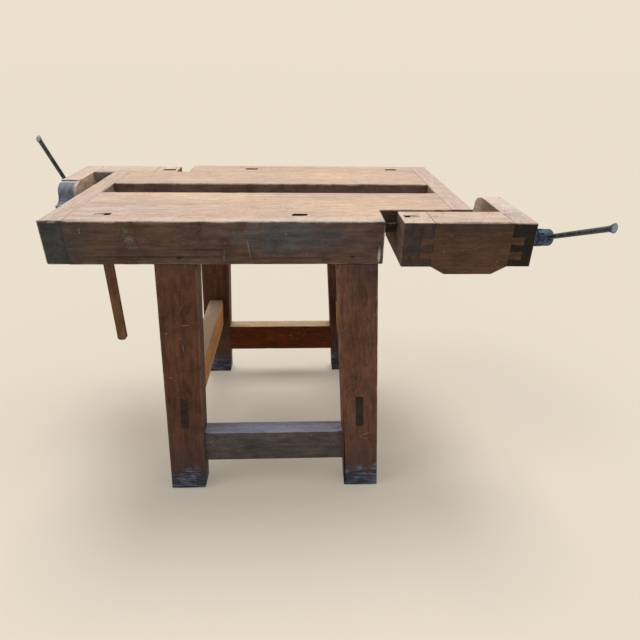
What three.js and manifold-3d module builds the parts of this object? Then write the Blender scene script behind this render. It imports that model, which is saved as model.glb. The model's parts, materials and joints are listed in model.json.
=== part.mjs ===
// Woodworking bench for two workers, with an L-shaped tail vise at each end.
// Millimetres, +Z up, X along the bench, the right front vise at +X and -Y.
// Apart from its bars, the length of its arms and its stretchers, the bench looks the same when it is turned
// half round about its upright middle line, so each half (plank, end cap, vise) is made once and placed twice.

import * as THREE from "three";
import { mergeVertices } from "three/addons/utils/BufferGeometryUtils.js";
import Module from "manifold-3d";

const wasm = await Module();
wasm.setup();

// Clearances
const SEAT_GAP = 0.3; // glued, bolted or seated faces
const SLIDE_GAP = 0.6; // faces that slide on each other
const VISE_SIDE_GAP = 1.5; // back of the vise to the bench edge beside it
const NUT_TONGUE_GAP = 2; // nut tongue to the walls of the hollow vise
const CUT_PAST = 5; // how far a cutting solid runs past the face that it opens
const WELD_DISTANCE = 1e-4; // corners closer than this are one corner

// Bench top
const BENCH_HEIGHT = 780;
const TOP_LENGTH = 980;
const TOP_DEPTH = 615;
const EDGE_HEIGHT = 101; // thick outer edge that holds the dogs and the legs
const PLANK_THICKNESS = 58;
const END_CAP_WIDTH = 50;
const WELL_WIDTH = 101;
const WELL_BOARD_THICKNESS = 12;
const WELL_BOARD_LAP = 26; // board under each plank
const BEARER_WIDTH = 56;
const BEARER_HEIGHT = 58;
const CAP_BOLT_RADIUS = 5;
const CAP_BOLT_REACH = 55; // into the plank
const CAP_BOLT_HEAD_RADIUS = 12;
const CAP_BOLT_HEAD_HEIGHT = 8;
const CAP_NUT_SIDE = 26;
const CAP_NUT_THICKNESS = 10;
const CAP_NUT_INSET = 38; // end of the plank to the near face of the nut

// Dog holes and dogs
const DOG_INSET = 52; // outer edge of the bench to the middle of the holes
const END_DOG_INSET = 116; // end of the top to the middle of the hole near it
const SPARE_DOG_INSET = 195; // jaw face to the middle of the other hole
const DOG_LEAN = 0.01; // run for each unit of rise, tops towards each other
const DOG_WIDTH = 21;
const DOG_THICKNESS = 13;
const DOG_FOOT_ROUND = 7;
const DOG_SOCKET_WIDTH = 12;
const DOG_SOCKET_DEPTH = 28;
const LONG_DOG_LENGTH = 323;
const VISE_DOG_LENGTH = 96;
const VISE_DOG_INSET = 33; // jaw face to the middle of the peg

// Legs and rails
const LEG_WIDTH = 96;
const LEG_DEPTH = 58;
const LEG_END_INSET = 283; // end of the top to the middle of a leg below it
const LEG_SETBACK = 1; // bench edge to the face of the leg below it
const LEG_LEAN_X = 0.0592; // run for each unit of rise
const LEG_LEAN_Y = 0.0304;
const LEG_TENON_WIDTH = 62;
const LEG_TENON_THICKNESS = 26;
const LEG_TENON_HEIGHT = 55;
const SIDE_RAIL_BOTTOM = 211;
const SIDE_RAIL_HEIGHT = 104;
const SIDE_RAIL_WIDTH = 48;
const SIDE_TENON_WIDTH = 20;
const SIDE_TENON_SHOULDER = 4;
const STRETCHER_HEIGHT = 98;
const STRETCHER_THICKNESS = 45;
const STRETCHER_SETBACK = 13; // face of the legs to the face of the stretcher
const FRONT_STRETCHER_BOTTOM = 90;
const REAR_STRETCHER_BOTTOM = 104;
const STRETCHER_TENON_LENGTH = 45;
const STRETCHER_TENON_THICKNESS = 18;
const STRETCHER_TENON_SHOULDER = 10;

// Vise
const RECESS_LENGTH = 225; // end of the top to the bench's jaw face
const RECESS_DEPTH = 96; // bench edge cut back for the vise
const JAW_OPENING = 42; // as it stands
const JAW_LENGTH = 69;
const CHOP_LENGTH = 180;
const ARM_WIDTH = 53;
const VISE_DROP = 4; // top of the bench to the top of the vise
const VISE_HEIGHT = 103.5;
const CHOP_WALL = 30;
const CHOP_LID = 24;
const CHOP_BELLY = 19; // chop below the blocks beside it
const CHOP_BELLY_RUN = 34;
const TAIL_LENGTH = 29;
const TAIL_ROOT = 15;
const TAIL_TIP = 22;
const TAIL_DEPTHS = [41, 77]; // top of the vise to the middle of each dovetail
const NOSE_STEP = 4;
const NOSE_ROUND = { run: 38, drop: 27 };
const NOSE_COVE = { run: 30, drop: 25 };
const FOOT_WIDTH = 40;
const FOOT_LAP = 27; // foot let into the back of the jaw block
const FOOT_CLEARANCE = 2; // foot to the underside of the plank
const RUNNER_Y = -98;
const RUNNER_WIDTH = 36;
const RUNNER_HEIGHT = 24;
const RUNNER_DROP = 6; // underside of the plank to the runner
const RUNNER_TENON = 26;
const GUIDE_RAIL_DEPTH = 16;
const GUIDE_RAIL_HEIGHT = 20;
const GUIDE_RAIL_END_GAP = 3;

// Screw, nut and bar
const SCREW_INSET = 52; // face of the vise to the screw's middle line
const SCREW_DEPTH = 50; // top of the vise to the screw's middle line
const SCREW_RADIUS = 12;
const SCREW_END_GAP = 9; // jaw block to the inner end of the screw
const NUT_RADIUS = 15;
const NUT_FLANGE_RADIUS = 19;
const NUT_FLANGE_THICKNESS = 6;
const NUT_TONGUE_HEIGHT = 48;
const PLATE_RADIUS = 33;
const PLATE_THICKNESS = 8;
const GARTER_INSET = 20; // inner face of the arm to the garter key
const GARTER_THICKNESS = 9;
const GARTER_WIDTH = 30;
const GARTER_RISE = 12; // key above the screw's middle line
const GARTER_GROOVE_RADIUS = 8.5;
const COLLAR_RADIUS = 22;
const COLLAR_LENGTH = 9;
const NECK_RADIUS = 16;
const NECK_LENGTH = 7;
const CROWN_RADIUS = 21;
const CROWN_LENGTH = 12;
const CROWN_NOTCHES = 10;
const CROWN_NOTCH_WIDTH = 4;
const CROWN_NOTCH_DEPTH = 3;
const BOSS_RADIUS = 20;
const BOSS_LENGTH = 26;
const BOSS_ROUND = 7;
const BAR_RADIUS = 6;
const BAR_HOLE_GAP = 0.5;
const BAR_LENGTH = 291;
const BAR_STOP_RADIUS = 8.5;
const BAR_STOP_LENGTH = 7;
const BAR_TIP_LENGTH = 22;
const BAR_TIP_RADIUS = 10;

// What differs between the two vises: the bar in degrees up from the vise's own front and how far it is
// pushed in, and where the top of the arm ends
const RIGHT_VISE = { barAngle: 22.4, barPushedIn: 0, armTopY: -68 };
const LEFT_VISE = { barAngle: 127.3, barPushedIn: 60, armTopY: -106 };

const ROUND_SIDES = 32;
const BAR_SIDES = 20;
const BOLT_HEAD_SIDES = 6;
const ROUND_SEGMENTS = 8; // in a quarter round or a cove

// Places worked out from the sizes above
const edgeY = -TOP_DEPTH / 2;
const recessY = edgeY + RECESS_DEPTH;
const wellY = -WELL_WIDTH / 2;
const capOuterX = TOP_LENGTH / 2;
const capInnerX = capOuterX - END_CAP_WIDTH;
const benchJawX = capOuterX - RECESS_LENGTH;
const edgeBottom = BENCH_HEIGHT - EDGE_HEIGHT;
const plankBottom = BENCH_HEIGHT - PLANK_THICKNESS;
const capBoltY = (recessY + wellY) / 2;
const capBoltZ = BENCH_HEIGHT - PLANK_THICKNESS / 2;
const dogY = edgeY + DOG_INSET;
const endDogX = END_DOG_INSET - capOuterX;
const spareDogX = benchJawX - SPARE_DOG_INSET;
const legTopX = capOuterX - LEG_END_INSET;
const legFootX = legTopX + LEG_LEAN_X * edgeBottom;
const legFootY = -edgeY - LEG_SETBACK - LEG_DEPTH / 2 + LEG_LEAN_Y * edgeBottom;
const viseTop = BENCH_HEIGHT - VISE_DROP;
const viseBottom = viseTop - VISE_HEIGHT;
const viseBackY = recessY - VISE_SIDE_GAP;
const jawFaceX = benchJawX + JAW_OPENING;
const chopX = jawFaceX + JAW_LENGTH;
const armX = chopX + CHOP_LENGTH;
const armEndX = armX + ARM_WIDTH;
const lidBottom = viseTop - CHOP_LID;
const screwY = edgeY + SCREW_INSET;
const screwZ = viseTop - SCREW_DEPTH;
const plateX = armEndX + SEAT_GAP;
const collarX = plateX + PLATE_THICKNESS + SEAT_GAP;
const neckX = collarX + COLLAR_LENGTH;
const crownX = neckX + NECK_LENGTH;
const bossX = crownX + CROWN_LENGTH;
const barX = bossX + BOSS_LENGTH / 2;
const barFullReach = BAR_LENGTH - BAR_STOP_LENGTH - BOSS_RADIUS - SEAT_GAP;
const garterX = armX + GARTER_INSET;
const runnerY = [RUNNER_Y - RUNNER_WIDTH / 2, RUNNER_Y + RUNNER_WIDTH / 2];
const runnerTop = plankBottom - RUNNER_DROP;
const runnerZ = [runnerTop - RUNNER_HEIGHT, runnerTop];
const footTop = plankBottom - FOOT_CLEARANCE;
const viseDogX = jawFaceX + VISE_DOG_INSET;

// Finishes: colour, roughness and metalness
const FINISHES = {
  wornTop: [0xb99678, 0.75, 0],
  leg: [0x55301f, 0.65, 0],
  viseWood: [0x6b4a33, 0.65, 0],
  innerWood: [0x8a6544, 0.8, 0],
  steel: [0x4d524b, 0.45, 0.9],
  paintedIron: [0x35618a, 0.5, 0.3],
};

const bench = new THREE.Group();
const frontHalf = new THREE.Group();
const rearHalf = new THREE.Group();
rearHalf.rotation.z = Math.PI;
bench.add(frontHalf, rearHalf);

function solidOf(geometry) {
  const bare = geometry.clone();
  bare.deleteAttribute("normal");
  bare.deleteAttribute("uv");
  const merged = mergeVertices(bare, WELD_DISTANCE);
  return new wasm.Manifold(
    new wasm.Mesh({
      numProp: 3,
      vertProperties: merged.attributes.position.array,
      triVerts: new Uint32Array(merged.index.array),
    }),
  );
}

function geometryOf(solid) {
  const mesh = solid.getMesh();
  const geometry = new THREE.BufferGeometry();
  geometry.setAttribute("position", new THREE.BufferAttribute(mesh.vertProperties, mesh.numProp));
  geometry.setIndex(new THREE.BufferAttribute(mesh.triVerts, 1));
  return geometry;
}

function cut(geometry, ...tools) {
  return geometryOf(tools.reduce((solid, tool) => solid.subtract(solidOf(tool)), solidOf(geometry)));
}

function join(geometry, ...others) {
  return geometryOf(others.reduce((solid, other) => solid.add(solidOf(other)), solidOf(geometry)));
}

function block([x0, x1], [y0, y1], [z0, z1]) {
  const geometry = new THREE.BoxGeometry(x1 - x0, y1 - y0, z1 - z0);
  return geometry.translate((x0 + x1) / 2, (y0 + y1) / 2, (z0 + z1) / 2);
}

// A span that is longer by the gap at each end
function wider([low, high], gap) {
  return [low - gap, high + gap];
}

function around(middle, width) {
  return [middle - width / 2, middle + width / 2];
}

function polygon(points) {
  return new THREE.Shape(points.map(([a, b]) => new THREE.Vector2(a, b)));
}

// An outline in Y and Z, carried along X
function alongX(shape, [x0, x1]) {
  const options = { depth: x1 - x0, bevelEnabled: false, curveSegments: ROUND_SEGMENTS };
  const turn = new THREE.Matrix4().makeBasis(
    new THREE.Vector3(0, 1, 0),
    new THREE.Vector3(0, 0, 1),
    new THREE.Vector3(1, 0, 0),
  );
  return new THREE.ExtrudeGeometry(shape, options).applyMatrix4(turn).translate(x0, 0, 0);
}

// An outline in X and Z, carried along Y
function alongY(shape, [y0, y1]) {
  const options = { depth: y1 - y0, bevelEnabled: false, curveSegments: ROUND_SEGMENTS };
  return new THREE.ExtrudeGeometry(shape, options).rotateX(Math.PI / 2).translate(0, y1, 0);
}

// A profile of [distance along the axis, radius] turned about the X axis
function turned(profile, sides) {
  const points = profile.map(([along, radius]) => new THREE.Vector2(radius, along));
  return new THREE.LatheGeometry(points, sides).rotateZ(-Math.PI / 2);
}

function rod([x0, x1], radius, y, z, sides = ROUND_SIDES) {
  const outline = [
    [x0, 0],
    [x0, radius],
    [x1, radius],
    [x1, 0],
  ];
  return turned(outline, sides).translate(0, y, z);
}

// Sideways run that grows with height, from zero at the given level
function leaning(geometry, runX, runY, level = 0) {
  const shear = new THREE.Matrix4().set(1, 0, runX, 0, 0, 1, runY, 0, 0, 0, 1, 0, 0, 0, 0, 1);
  return geometry.translate(0, 0, -level).applyMatrix4(shear).translate(0, 0, level);
}

function place(group, name, geometry, finish) {
  const [color, roughness, metalness] = FINISHES[finish];
  const material = new THREE.MeshStandardMaterial({ color, roughness, metalness });
  const mesh = new THREE.Mesh(geometry, material);
  mesh.name = name;
  group.add(mesh);
}

// A plain wooden peg with a rounded foot, flush with the given top
function dogPeg(x, top, length, lean) {
  const [left, right] = around(x, DOG_WIDTH);
  const heel = top - length + DOG_FOOT_ROUND;
  const outline = new THREE.Shape();
  outline.moveTo(left, top);
  outline.lineTo(left, heel);
  outline.absarc(left + DOG_FOOT_ROUND, heel, DOG_FOOT_ROUND, Math.PI, 1.5 * Math.PI, false);
  outline.absarc(right - DOG_FOOT_ROUND, heel, DOG_FOOT_ROUND, 1.5 * Math.PI, 2 * Math.PI, false);
  outline.lineTo(right, top);
  return leaning(alongY(outline, around(dogY, DOG_THICKNESS)), lean, 0, top);
}

// The hole for a dog, with a socket at its top on the side that the dog leans to
function dogHole(x, top, depth, lean) {
  const shankX = around(x, DOG_WIDTH + 2 * SEAT_GAP);
  const thickness = around(dogY, DOG_THICKNESS + 2 * SEAT_GAP);
  const through = block(shankX, thickness, wider([top - depth, top], CUT_PAST));
  const socketX = lean > 0 ? [x, shankX[1] + DOG_SOCKET_WIDTH] : [shankX[0] - DOG_SOCKET_WIDTH, x];
  const socket = block(socketX, thickness, [top - DOG_SOCKET_DEPTH, top + CUT_PAST]);
  return leaning(join(through, socket), lean, 0, top);
}

// Legs, rails and stretchers. Side is 1 on the right and -1 on the left, face is -1 in front and 1 behind.
function legTenon(side, face, gap) {
  const x = around(side * legFootX, LEG_TENON_WIDTH + 2 * gap);
  const y = around(face * legFootY, LEG_TENON_THICKNESS + 2 * gap);
  return block(x, y, [edgeBottom - CUT_PAST, edgeBottom + LEG_TENON_HEIGHT + gap]);
}

function leanedLeg(geometry, side, face) {
  return leaning(geometry, -side * LEG_LEAN_X, -face * LEG_LEAN_Y);
}

// A side rail's outline between the faces of the legs, at the given distance from their middles
function betweenLegs(fromMiddle, [z0, z1]) {
  const reach = (z) => legFootY + fromMiddle - LEG_LEAN_Y * z;
  return polygon([
    [-reach(z0), z0],
    [reach(z0), z0],
    [reach(z1), z1],
    [-reach(z1), z1],
  ]);
}

const sideRailZ = [SIDE_RAIL_BOTTOM, SIDE_RAIL_BOTTOM + SIDE_RAIL_HEIGHT];

function sideRailTenon(side, gap, pastFace) {
  const outline = betweenLegs(LEG_DEPTH / 2 + pastFace, wider(sideRailZ, gap - SIDE_TENON_SHOULDER));
  return alongX(outline, around(side * legFootX, SIDE_TENON_WIDTH + 2 * gap));
}

function sideRail(side) {
  const body = alongX(
    betweenLegs(-LEG_DEPTH / 2 - SEAT_GAP, sideRailZ),
    around(side * legFootX, SIDE_RAIL_WIDTH),
  );
  return leaning(join(body, sideRailTenon(side, 0, 0)), -side * LEG_LEAN_X, 0);
}

function stretcherOutline(pastShoulder, [z0, z1]) {
  const reach = (z) => legFootX - LEG_WIDTH / 2 - SEAT_GAP - LEG_LEAN_X * z + pastShoulder;
  return polygon([
    [-reach(z0), z0],
    [reach(z0), z0],
    [reach(z1), z1],
    [-reach(z1), z1],
  ]);
}

function stretcherSpans(face) {
  const bottom = face < 0 ? FRONT_STRETCHER_BOTTOM : REAR_STRETCHER_BOTTOM;
  const z = [bottom, bottom + STRETCHER_HEIGHT];
  const legFace = legFootY + LEG_DEPTH / 2 - LEG_LEAN_Y * (bottom + STRETCHER_HEIGHT / 2);
  const middle = face * (legFace - STRETCHER_SETBACK - STRETCHER_THICKNESS / 2);
  return { z, middle };
}

function stretcherTenons(face, gap) {
  const { z, middle } = stretcherSpans(face);
  const outline = stretcherOutline(STRETCHER_TENON_LENGTH + gap, wider(z, gap - STRETCHER_TENON_SHOULDER));
  return alongY(outline, around(middle, STRETCHER_TENON_THICKNESS + 2 * gap));
}

function stretcher(face) {
  const { z, middle } = stretcherSpans(face);
  const body = alongY(stretcherOutline(0, z), around(middle, STRETCHER_THICKNESS));
  return join(body, stretcherTenons(face, 0));
}

function leg(side, face) {
  const x = around(side * legFootX, LEG_WIDTH);
  const y = around(face * legFootY, LEG_DEPTH);
  const post = join(block(x, y, [0, edgeBottom - SEAT_GAP]), legTenon(side, face, 0));
  const railHole = leaning(sideRailTenon(side, SEAT_GAP, CUT_PAST), -side * LEG_LEAN_X, 0);
  return cut(leanedLeg(post, side, face), railHole, stretcherTenons(face, SEAT_GAP));
}

function buildUnderframe() {
  for (const [side, sideName] of [
    [1, "right"],
    [-1, "left"],
  ]) {
    place(bench, sideName + "_side_rail", sideRail(side), "innerWood");
    place(bench, "front_" + sideName + "_leg", leg(side, -1), "leg");
    place(bench, "rear_" + sideName + "_leg", leg(side, 1), "leg");
    place(bench, sideName + "_bearer", bearer(side), "innerWood");
  }
  place(bench, "front_stretcher", stretcher(-1), "leg");
  place(bench, "rear_stretcher", stretcher(1), "leg");
}

const betweenCaps = wider([-capInnerX, capInnerX], -SEAT_GAP);
const wellBoardY = around(0, WELL_WIDTH + 2 * WELL_BOARD_LAP);
const wellBoardZ = [plankBottom - SEAT_GAP - WELL_BOARD_THICKNESS, plankBottom - SEAT_GAP];

function wellBoard() {
  return block(betweenCaps, wellBoardY, wellBoardZ);
}

// A cross member below the planks, notched for the board of the tool well
function bearer(side) {
  const x = around(side * legTopX, BEARER_WIDTH);
  const y = wider([recessY, -recessY], -SEAT_GAP);
  const beam = block(x, y, [plankBottom - BEARER_HEIGHT, plankBottom - SEAT_GAP]);
  const notch = block(wider(x, CUT_PAST), wider(wellBoardY, SEAT_GAP), wider(wellBoardZ, SEAT_GAP));
  return cut(beam, notch);
}

// Bench top: each half has a plank with a thick outer edge, cut back at one end for the vise.
function plank() {
  const section = polygon([
    [edgeY, edgeBottom],
    [recessY, edgeBottom],
    [recessY, plankBottom],
    [wellY, plankBottom],
    [wellY, BENCH_HEIGHT],
    [edgeY, BENCH_HEIGHT],
  ]);
  const body = alongX(section, betweenCaps);
  const recess = block(
    [benchJawX, capInnerX + CUT_PAST],
    [edgeY - CUT_PAST, recessY],
    wider([edgeBottom, BENCH_HEIGHT], CUT_PAST),
  );
  const dogHoles = [endDogX, spareDogX].map((x) => dogHole(x, BENCH_HEIGHT, EDGE_HEIGHT, DOG_LEAN));
  const legHoles = [1, -1].map((side) => leanedLeg(legTenon(side, -1, SEAT_GAP), side, -1));
  const boltHoles = [1, -1].flatMap((side) => [
    rod(capBoltSpan(side), CAP_BOLT_RADIUS + SEAT_GAP, capBoltY, capBoltZ),
    capNutBlock(side, SEAT_GAP, plankBottom - CUT_PAST),
  ]);
  return cut(body, recess, ...dogHoles, ...legHoles, ...boltHoles);
}

function capBoltSpan(side) {
  const span = [capInnerX - CAP_BOLT_REACH, capOuterX + CUT_PAST];
  return side > 0 ? span : [-span[1], -span[0]];
}

function capNutBlock(side, gap, bottom) {
  const middle = side * (capInnerX - CAP_NUT_INSET - CAP_NUT_THICKNESS / 2);
  const x = around(middle, CAP_NUT_THICKNESS + 2 * gap);
  return block(x, around(capBoltY, CAP_NUT_SIDE + 2 * gap), [bottom, capBoltZ + CAP_NUT_SIDE / 2 + gap]);
}

function capBolt() {
  const shankX = [capInnerX - CAP_BOLT_REACH + SEAT_GAP, capOuterX + SEAT_GAP + CAP_BOLT_HEAD_HEIGHT / 2];
  const headX = [capOuterX + SEAT_GAP, capOuterX + SEAT_GAP + CAP_BOLT_HEAD_HEIGHT];
  const shank = rod(shankX, CAP_BOLT_RADIUS, capBoltY, capBoltZ, BAR_SIDES);
  return join(shank, rod(headX, CAP_BOLT_HEAD_RADIUS, capBoltY, capBoltZ, BOLT_HEAD_SIDES));
}

function capNut() {
  const bore = rod(capBoltSpan(1), CAP_BOLT_RADIUS + SEAT_GAP, capBoltY, capBoltZ, BAR_SIDES);
  return cut(capNutBlock(1, 0, capBoltZ - CAP_NUT_SIDE / 2), bore);
}

// The end cap crosses both planks, and its tongue carries the nut inside the hollow vise.
function endCap() {
  const x = [capInnerX, capOuterX];
  const body = block(x, [recessY, -edgeY], [edgeBottom, BENCH_HEIGHT]);
  const tongueTop = lidBottom - NUT_TONGUE_GAP;
  const tongue = block(
    x,
    [edgeY + CHOP_WALL + NUT_TONGUE_GAP, recessY + CUT_PAST],
    [tongueTop - NUT_TONGUE_HEIGHT, tongueTop],
  );
  const across = wider(x, CUT_PAST);
  const holes = [
    rod(across, NUT_RADIUS + SEAT_GAP, screwY, screwZ),
    block(across, wider(runnerY, SLIDE_GAP), wider(runnerZ, SLIDE_GAP)),
    rod(across, CAP_BOLT_RADIUS + SEAT_GAP, capBoltY, capBoltZ, BAR_SIDES),
    rod(across, CAP_BOLT_RADIUS + SEAT_GAP, -capBoltY, capBoltZ, BAR_SIDES),
  ];
  return cut(join(body, tongue), ...holes);
}

const guideRailTop = lidBottom - SLIDE_GAP;
const guideRailZ = [guideRailTop - GUIDE_RAIL_HEIGHT, guideRailTop];

// A strip on the bench edge: the vise's lid rides on it, and the jaw block is grooved for it.
function guideRail() {
  const x = wider([benchJawX, capInnerX], -GUIDE_RAIL_END_GAP);
  return block(x, [recessY - GUIDE_RAIL_DEPTH, recessY - SEAT_GAP], guideRailZ);
}

function screwNut() {
  const flangeX = capOuterX + SEAT_GAP;
  const outline = [
    [capInnerX, SCREW_RADIUS + SLIDE_GAP],
    [capInnerX, NUT_RADIUS],
    [flangeX, NUT_RADIUS],
    [flangeX, NUT_FLANGE_RADIUS],
    [flangeX + NUT_FLANGE_THICKNESS, NUT_FLANGE_RADIUS],
    [flangeX + NUT_FLANGE_THICKNESS, SCREW_RADIUS + SLIDE_GAP],
    [capInnerX, SCREW_RADIUS + SLIDE_GAP],
  ];
  return turned(outline, ROUND_SIDES).translate(0, screwY, screwZ);
}

// The two dovetails at an end of the chop, or with a gap the sockets for them.
// Away is 1 at the arm and -1 at the jaw block.
function dovetails(x, away, gap) {
  const y = [edgeY - (gap > 0 ? CUT_PAST : 0), edgeY + CHOP_WALL + gap];
  const start = x - away * CUT_PAST;
  const end = x + away * (TAIL_LENGTH + gap);
  const root = TAIL_ROOT / 2 + gap;
  const tip = TAIL_TIP / 2 + gap;
  return TAIL_DEPTHS.map((depth) => {
    const z = viseTop - depth;
    const outline = polygon([
      [start, z - root],
      [x, z - root],
      [end, z - tip],
      [end, z + tip],
      [x, z + root],
      [start, z + root],
    ]);
    return alongY(outline, y);
  });
}

// The chop is the vise's front wall and lid in one, open behind and below for the nut's tongue.
function chop() {
  const bellyZ = viseBottom - CHOP_BELLY;
  const outline = polygon([
    [chopX, viseBottom],
    [chopX + CHOP_BELLY_RUN, bellyZ],
    [armX - CHOP_BELLY_RUN, bellyZ],
    [armX, viseBottom],
    [armX, viseTop],
    [chopX, viseTop],
  ]);
  const wall = alongY(outline, [edgeY, edgeY + CHOP_WALL]);
  const lid = block([chopX, armX], [edgeY, viseBackY], [lidBottom, viseTop]);
  return join(wall, lid, ...dovetails(chopX, -1, 0), ...dovetails(armX, 1, 0));
}

const footX = [jawFaceX, jawFaceX + FOOT_WIDTH];
const footY = [viseBackY - FOOT_LAP, runnerY[1]];

function jawBlock() {
  const x = [jawFaceX, chopX - SEAT_GAP];
  const body = block(x, [edgeY, viseBackY], [viseBottom, viseTop]);
  const railGroove = block(
    wider(x, CUT_PAST),
    [recessY - GUIDE_RAIL_DEPTH - SLIDE_GAP, viseBackY + CUT_PAST],
    [guideRailZ[0] - SLIDE_GAP, lidBottom],
  );
  const footNotch = block(
    [footX[0] - CUT_PAST, footX[1] + SEAT_GAP],
    [footY[0] - SEAT_GAP, viseBackY + CUT_PAST],
    [viseBottom - CUT_PAST, footTop + SEAT_GAP],
  );
  const hole = dogHole(viseDogX, viseTop, VISE_HEIGHT, -DOG_LEAN);
  return cut(body, railGroove, footNotch, hole, ...dovetails(chopX, -1, SEAT_GAP));
}

// The foot runs back from the jaw block, below the plank.
function foot() {
  return block(footX, footY, [viseBottom, footTop]);
}

// The runner ties the foot to the arm and slides in the end cap.
function runner() {
  return block([footX[1] + SEAT_GAP, armX + RUNNER_TENON], runnerY, runnerZ);
}

// Side view of the arm, with an ogee nose at its free end
function armOutline(topY) {
  const roundZ = viseTop - NOSE_STEP - NOSE_ROUND.drop;
  const coveZ = roundZ - NOSE_COVE.drop;
  const coveY = topY + NOSE_ROUND.run + NOSE_COVE.run;
  const outline = new THREE.Shape();
  outline.moveTo(edgeY, viseBottom);
  outline.lineTo(coveY + NOSE_STEP, viseBottom);
  outline.lineTo(coveY + NOSE_STEP, coveZ);
  outline.lineTo(coveY, coveZ);
  outline.absellipse(coveY, roundZ, NOSE_COVE.run, NOSE_COVE.drop, -Math.PI / 2, -Math.PI, true, 0);
  outline.absellipse(topY, roundZ, NOSE_ROUND.run, NOSE_ROUND.drop, 0, Math.PI / 2, false, 0);
  outline.lineTo(topY, viseTop);
  outline.lineTo(edgeY, viseTop);
  return outline;
}

function arm(topY) {
  const x = [armX + SEAT_GAP, armEndX];
  const screwHole = rod(wider(x, CUT_PAST), SCREW_RADIUS + SLIDE_GAP, screwY, screwZ);
  const runnerHole = block(
    [armX - CUT_PAST, armX + RUNNER_TENON + SEAT_GAP],
    wider(runnerY, SEAT_GAP),
    wider(runnerZ, SEAT_GAP),
  );
  const garterSlot = block(
    wider(garterSpan, SEAT_GAP),
    around(screwY, GARTER_WIDTH + 2 * SEAT_GAP),
    [viseBottom - CUT_PAST, screwZ + GARTER_RISE + SEAT_GAP],
  );
  const sockets = dovetails(armX, 1, SEAT_GAP);
  return cut(alongX(armOutline(topY), x), screwHole, runnerHole, garterSlot, ...sockets);
}

const garterSpan = [garterX, garterX + GARTER_THICKNESS];

// A key from below, forked round the groove of the screw, that makes the vise follow the screw outwards
function garterKey() {
  const forkRadius = GARTER_GROOVE_RADIUS + SLIDE_GAP;
  const top = screwZ + GARTER_RISE;
  const key = block(garterSpan, around(screwY, GARTER_WIDTH), [viseBottom, top]);
  const across = wider(garterSpan, CUT_PAST);
  const fork = block(across, around(screwY, 2 * forkRadius), [screwZ, top + CUT_PAST]);
  return cut(key, fork, rod(across, forkRadius, screwY, screwZ));
}

function screwPlate() {
  const bore = SCREW_RADIUS + SLIDE_GAP;
  const outline = [
    [plateX, bore],
    [plateX, PLATE_RADIUS],
    [plateX + PLATE_THICKNESS, PLATE_RADIUS],
    [plateX + PLATE_THICKNESS, bore],
    [plateX, bore],
  ];
  return turned(outline, ROUND_SIDES).translate(0, screwY, screwZ);
}

// The screw about its own middle line, with the bar's hole square to it
function screw() {
  const innerEnd = chopX + SCREW_END_GAP;
  const bossEnd = bossX + BOSS_LENGTH;
  const quarter = Array.from({ length: ROUND_SEGMENTS + 1 }, (_, step) => {
    const angle = ((Math.PI / 2) * step) / ROUND_SEGMENTS;
    return [bossEnd + BOSS_ROUND * (Math.sin(angle) - 1), BOSS_RADIUS + BOSS_ROUND * (Math.cos(angle) - 1)];
  });
  const outline = [
    [innerEnd, 0],
    [innerEnd, SCREW_RADIUS],
    [garterX - SLIDE_GAP, SCREW_RADIUS],
    [garterX - SLIDE_GAP, GARTER_GROOVE_RADIUS],
    [garterSpan[1] + SLIDE_GAP, GARTER_GROOVE_RADIUS],
    [garterSpan[1] + SLIDE_GAP, SCREW_RADIUS],
    [collarX, SCREW_RADIUS],
    [collarX, COLLAR_RADIUS],
    [neckX, COLLAR_RADIUS],
    [neckX, NECK_RADIUS],
    [crownX, NECK_RADIUS],
    [crownX, CROWN_RADIUS],
    [bossX, CROWN_RADIUS],
    [bossX, BOSS_RADIUS],
    ...quarter,
    [bossEnd, 0],
  ];
  const barHole = new THREE.CylinderGeometry(
    BAR_RADIUS + BAR_HOLE_GAP,
    BAR_RADIUS + BAR_HOLE_GAP,
    2 * (BOSS_RADIUS + CUT_PAST),
    BAR_SIDES,
  ).translate(barX, 0, 0);
  const notches = Array.from({ length: CROWN_NOTCHES }, (_, index) => {
    const depth = [CROWN_RADIUS - CROWN_NOTCH_DEPTH, CROWN_RADIUS + CUT_PAST];
    const notch = block([crownX - CUT_PAST, bossX], around(0, CROWN_NOTCH_WIDTH), depth);
    return notch.rotateX((2 * Math.PI * index) / CROWN_NOTCHES);
  });
  return cut(turned(outline, ROUND_SIDES), barHole, ...notches);
}

// The bar lies along Y, its swollen tip at -Y and its stop behind the boss.
function bar(pushedIn) {
  const tip = pushedIn - barFullReach;
  const end = tip + BAR_LENGTH;
  const outline = [
    [tip, 0],
    [tip, BAR_RADIUS],
    [tip + BAR_TIP_LENGTH / 8, BAR_TIP_RADIUS],
    [tip + BAR_TIP_LENGTH / 3, BAR_TIP_RADIUS],
    [tip + BAR_TIP_LENGTH, BAR_RADIUS],
    [end - BAR_STOP_LENGTH, BAR_RADIUS],
    [end - BAR_STOP_LENGTH, BAR_STOP_RADIUS],
    [end, BAR_STOP_RADIUS],
    [end, 0],
  ];
  const points = outline.map(([along, radius]) => new THREE.Vector2(radius, along));
  return new THREE.LatheGeometry(points, BAR_SIDES).translate(barX, 0, 0);
}

function buildVise(group, end, { barAngle, barPushedIn, armTopY }) {
  place(group, end + "_jaw_block", jawBlock(), "viseWood");
  place(group, end + "_chop", chop(), "viseWood");
  place(group, end + "_arm", arm(armTopY), "viseWood");
  place(group, end + "_foot", foot(), "innerWood");
  place(group, end + "_runner", runner(), "innerWood");
  place(group, end + "_garter_key", garterKey(), "innerWood");
  place(group, end + "_screw_plate", screwPlate(), "paintedIron");
  const spindle = new THREE.Group();
  spindle.position.set(0, screwY, screwZ);
  spindle.rotation.x = THREE.MathUtils.degToRad(-barAngle);
  group.add(spindle);
  place(spindle, end + "_screw", screw(), "paintedIron");
  place(spindle, end + "_bar", bar(barPushedIn), "steel");
}

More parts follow.
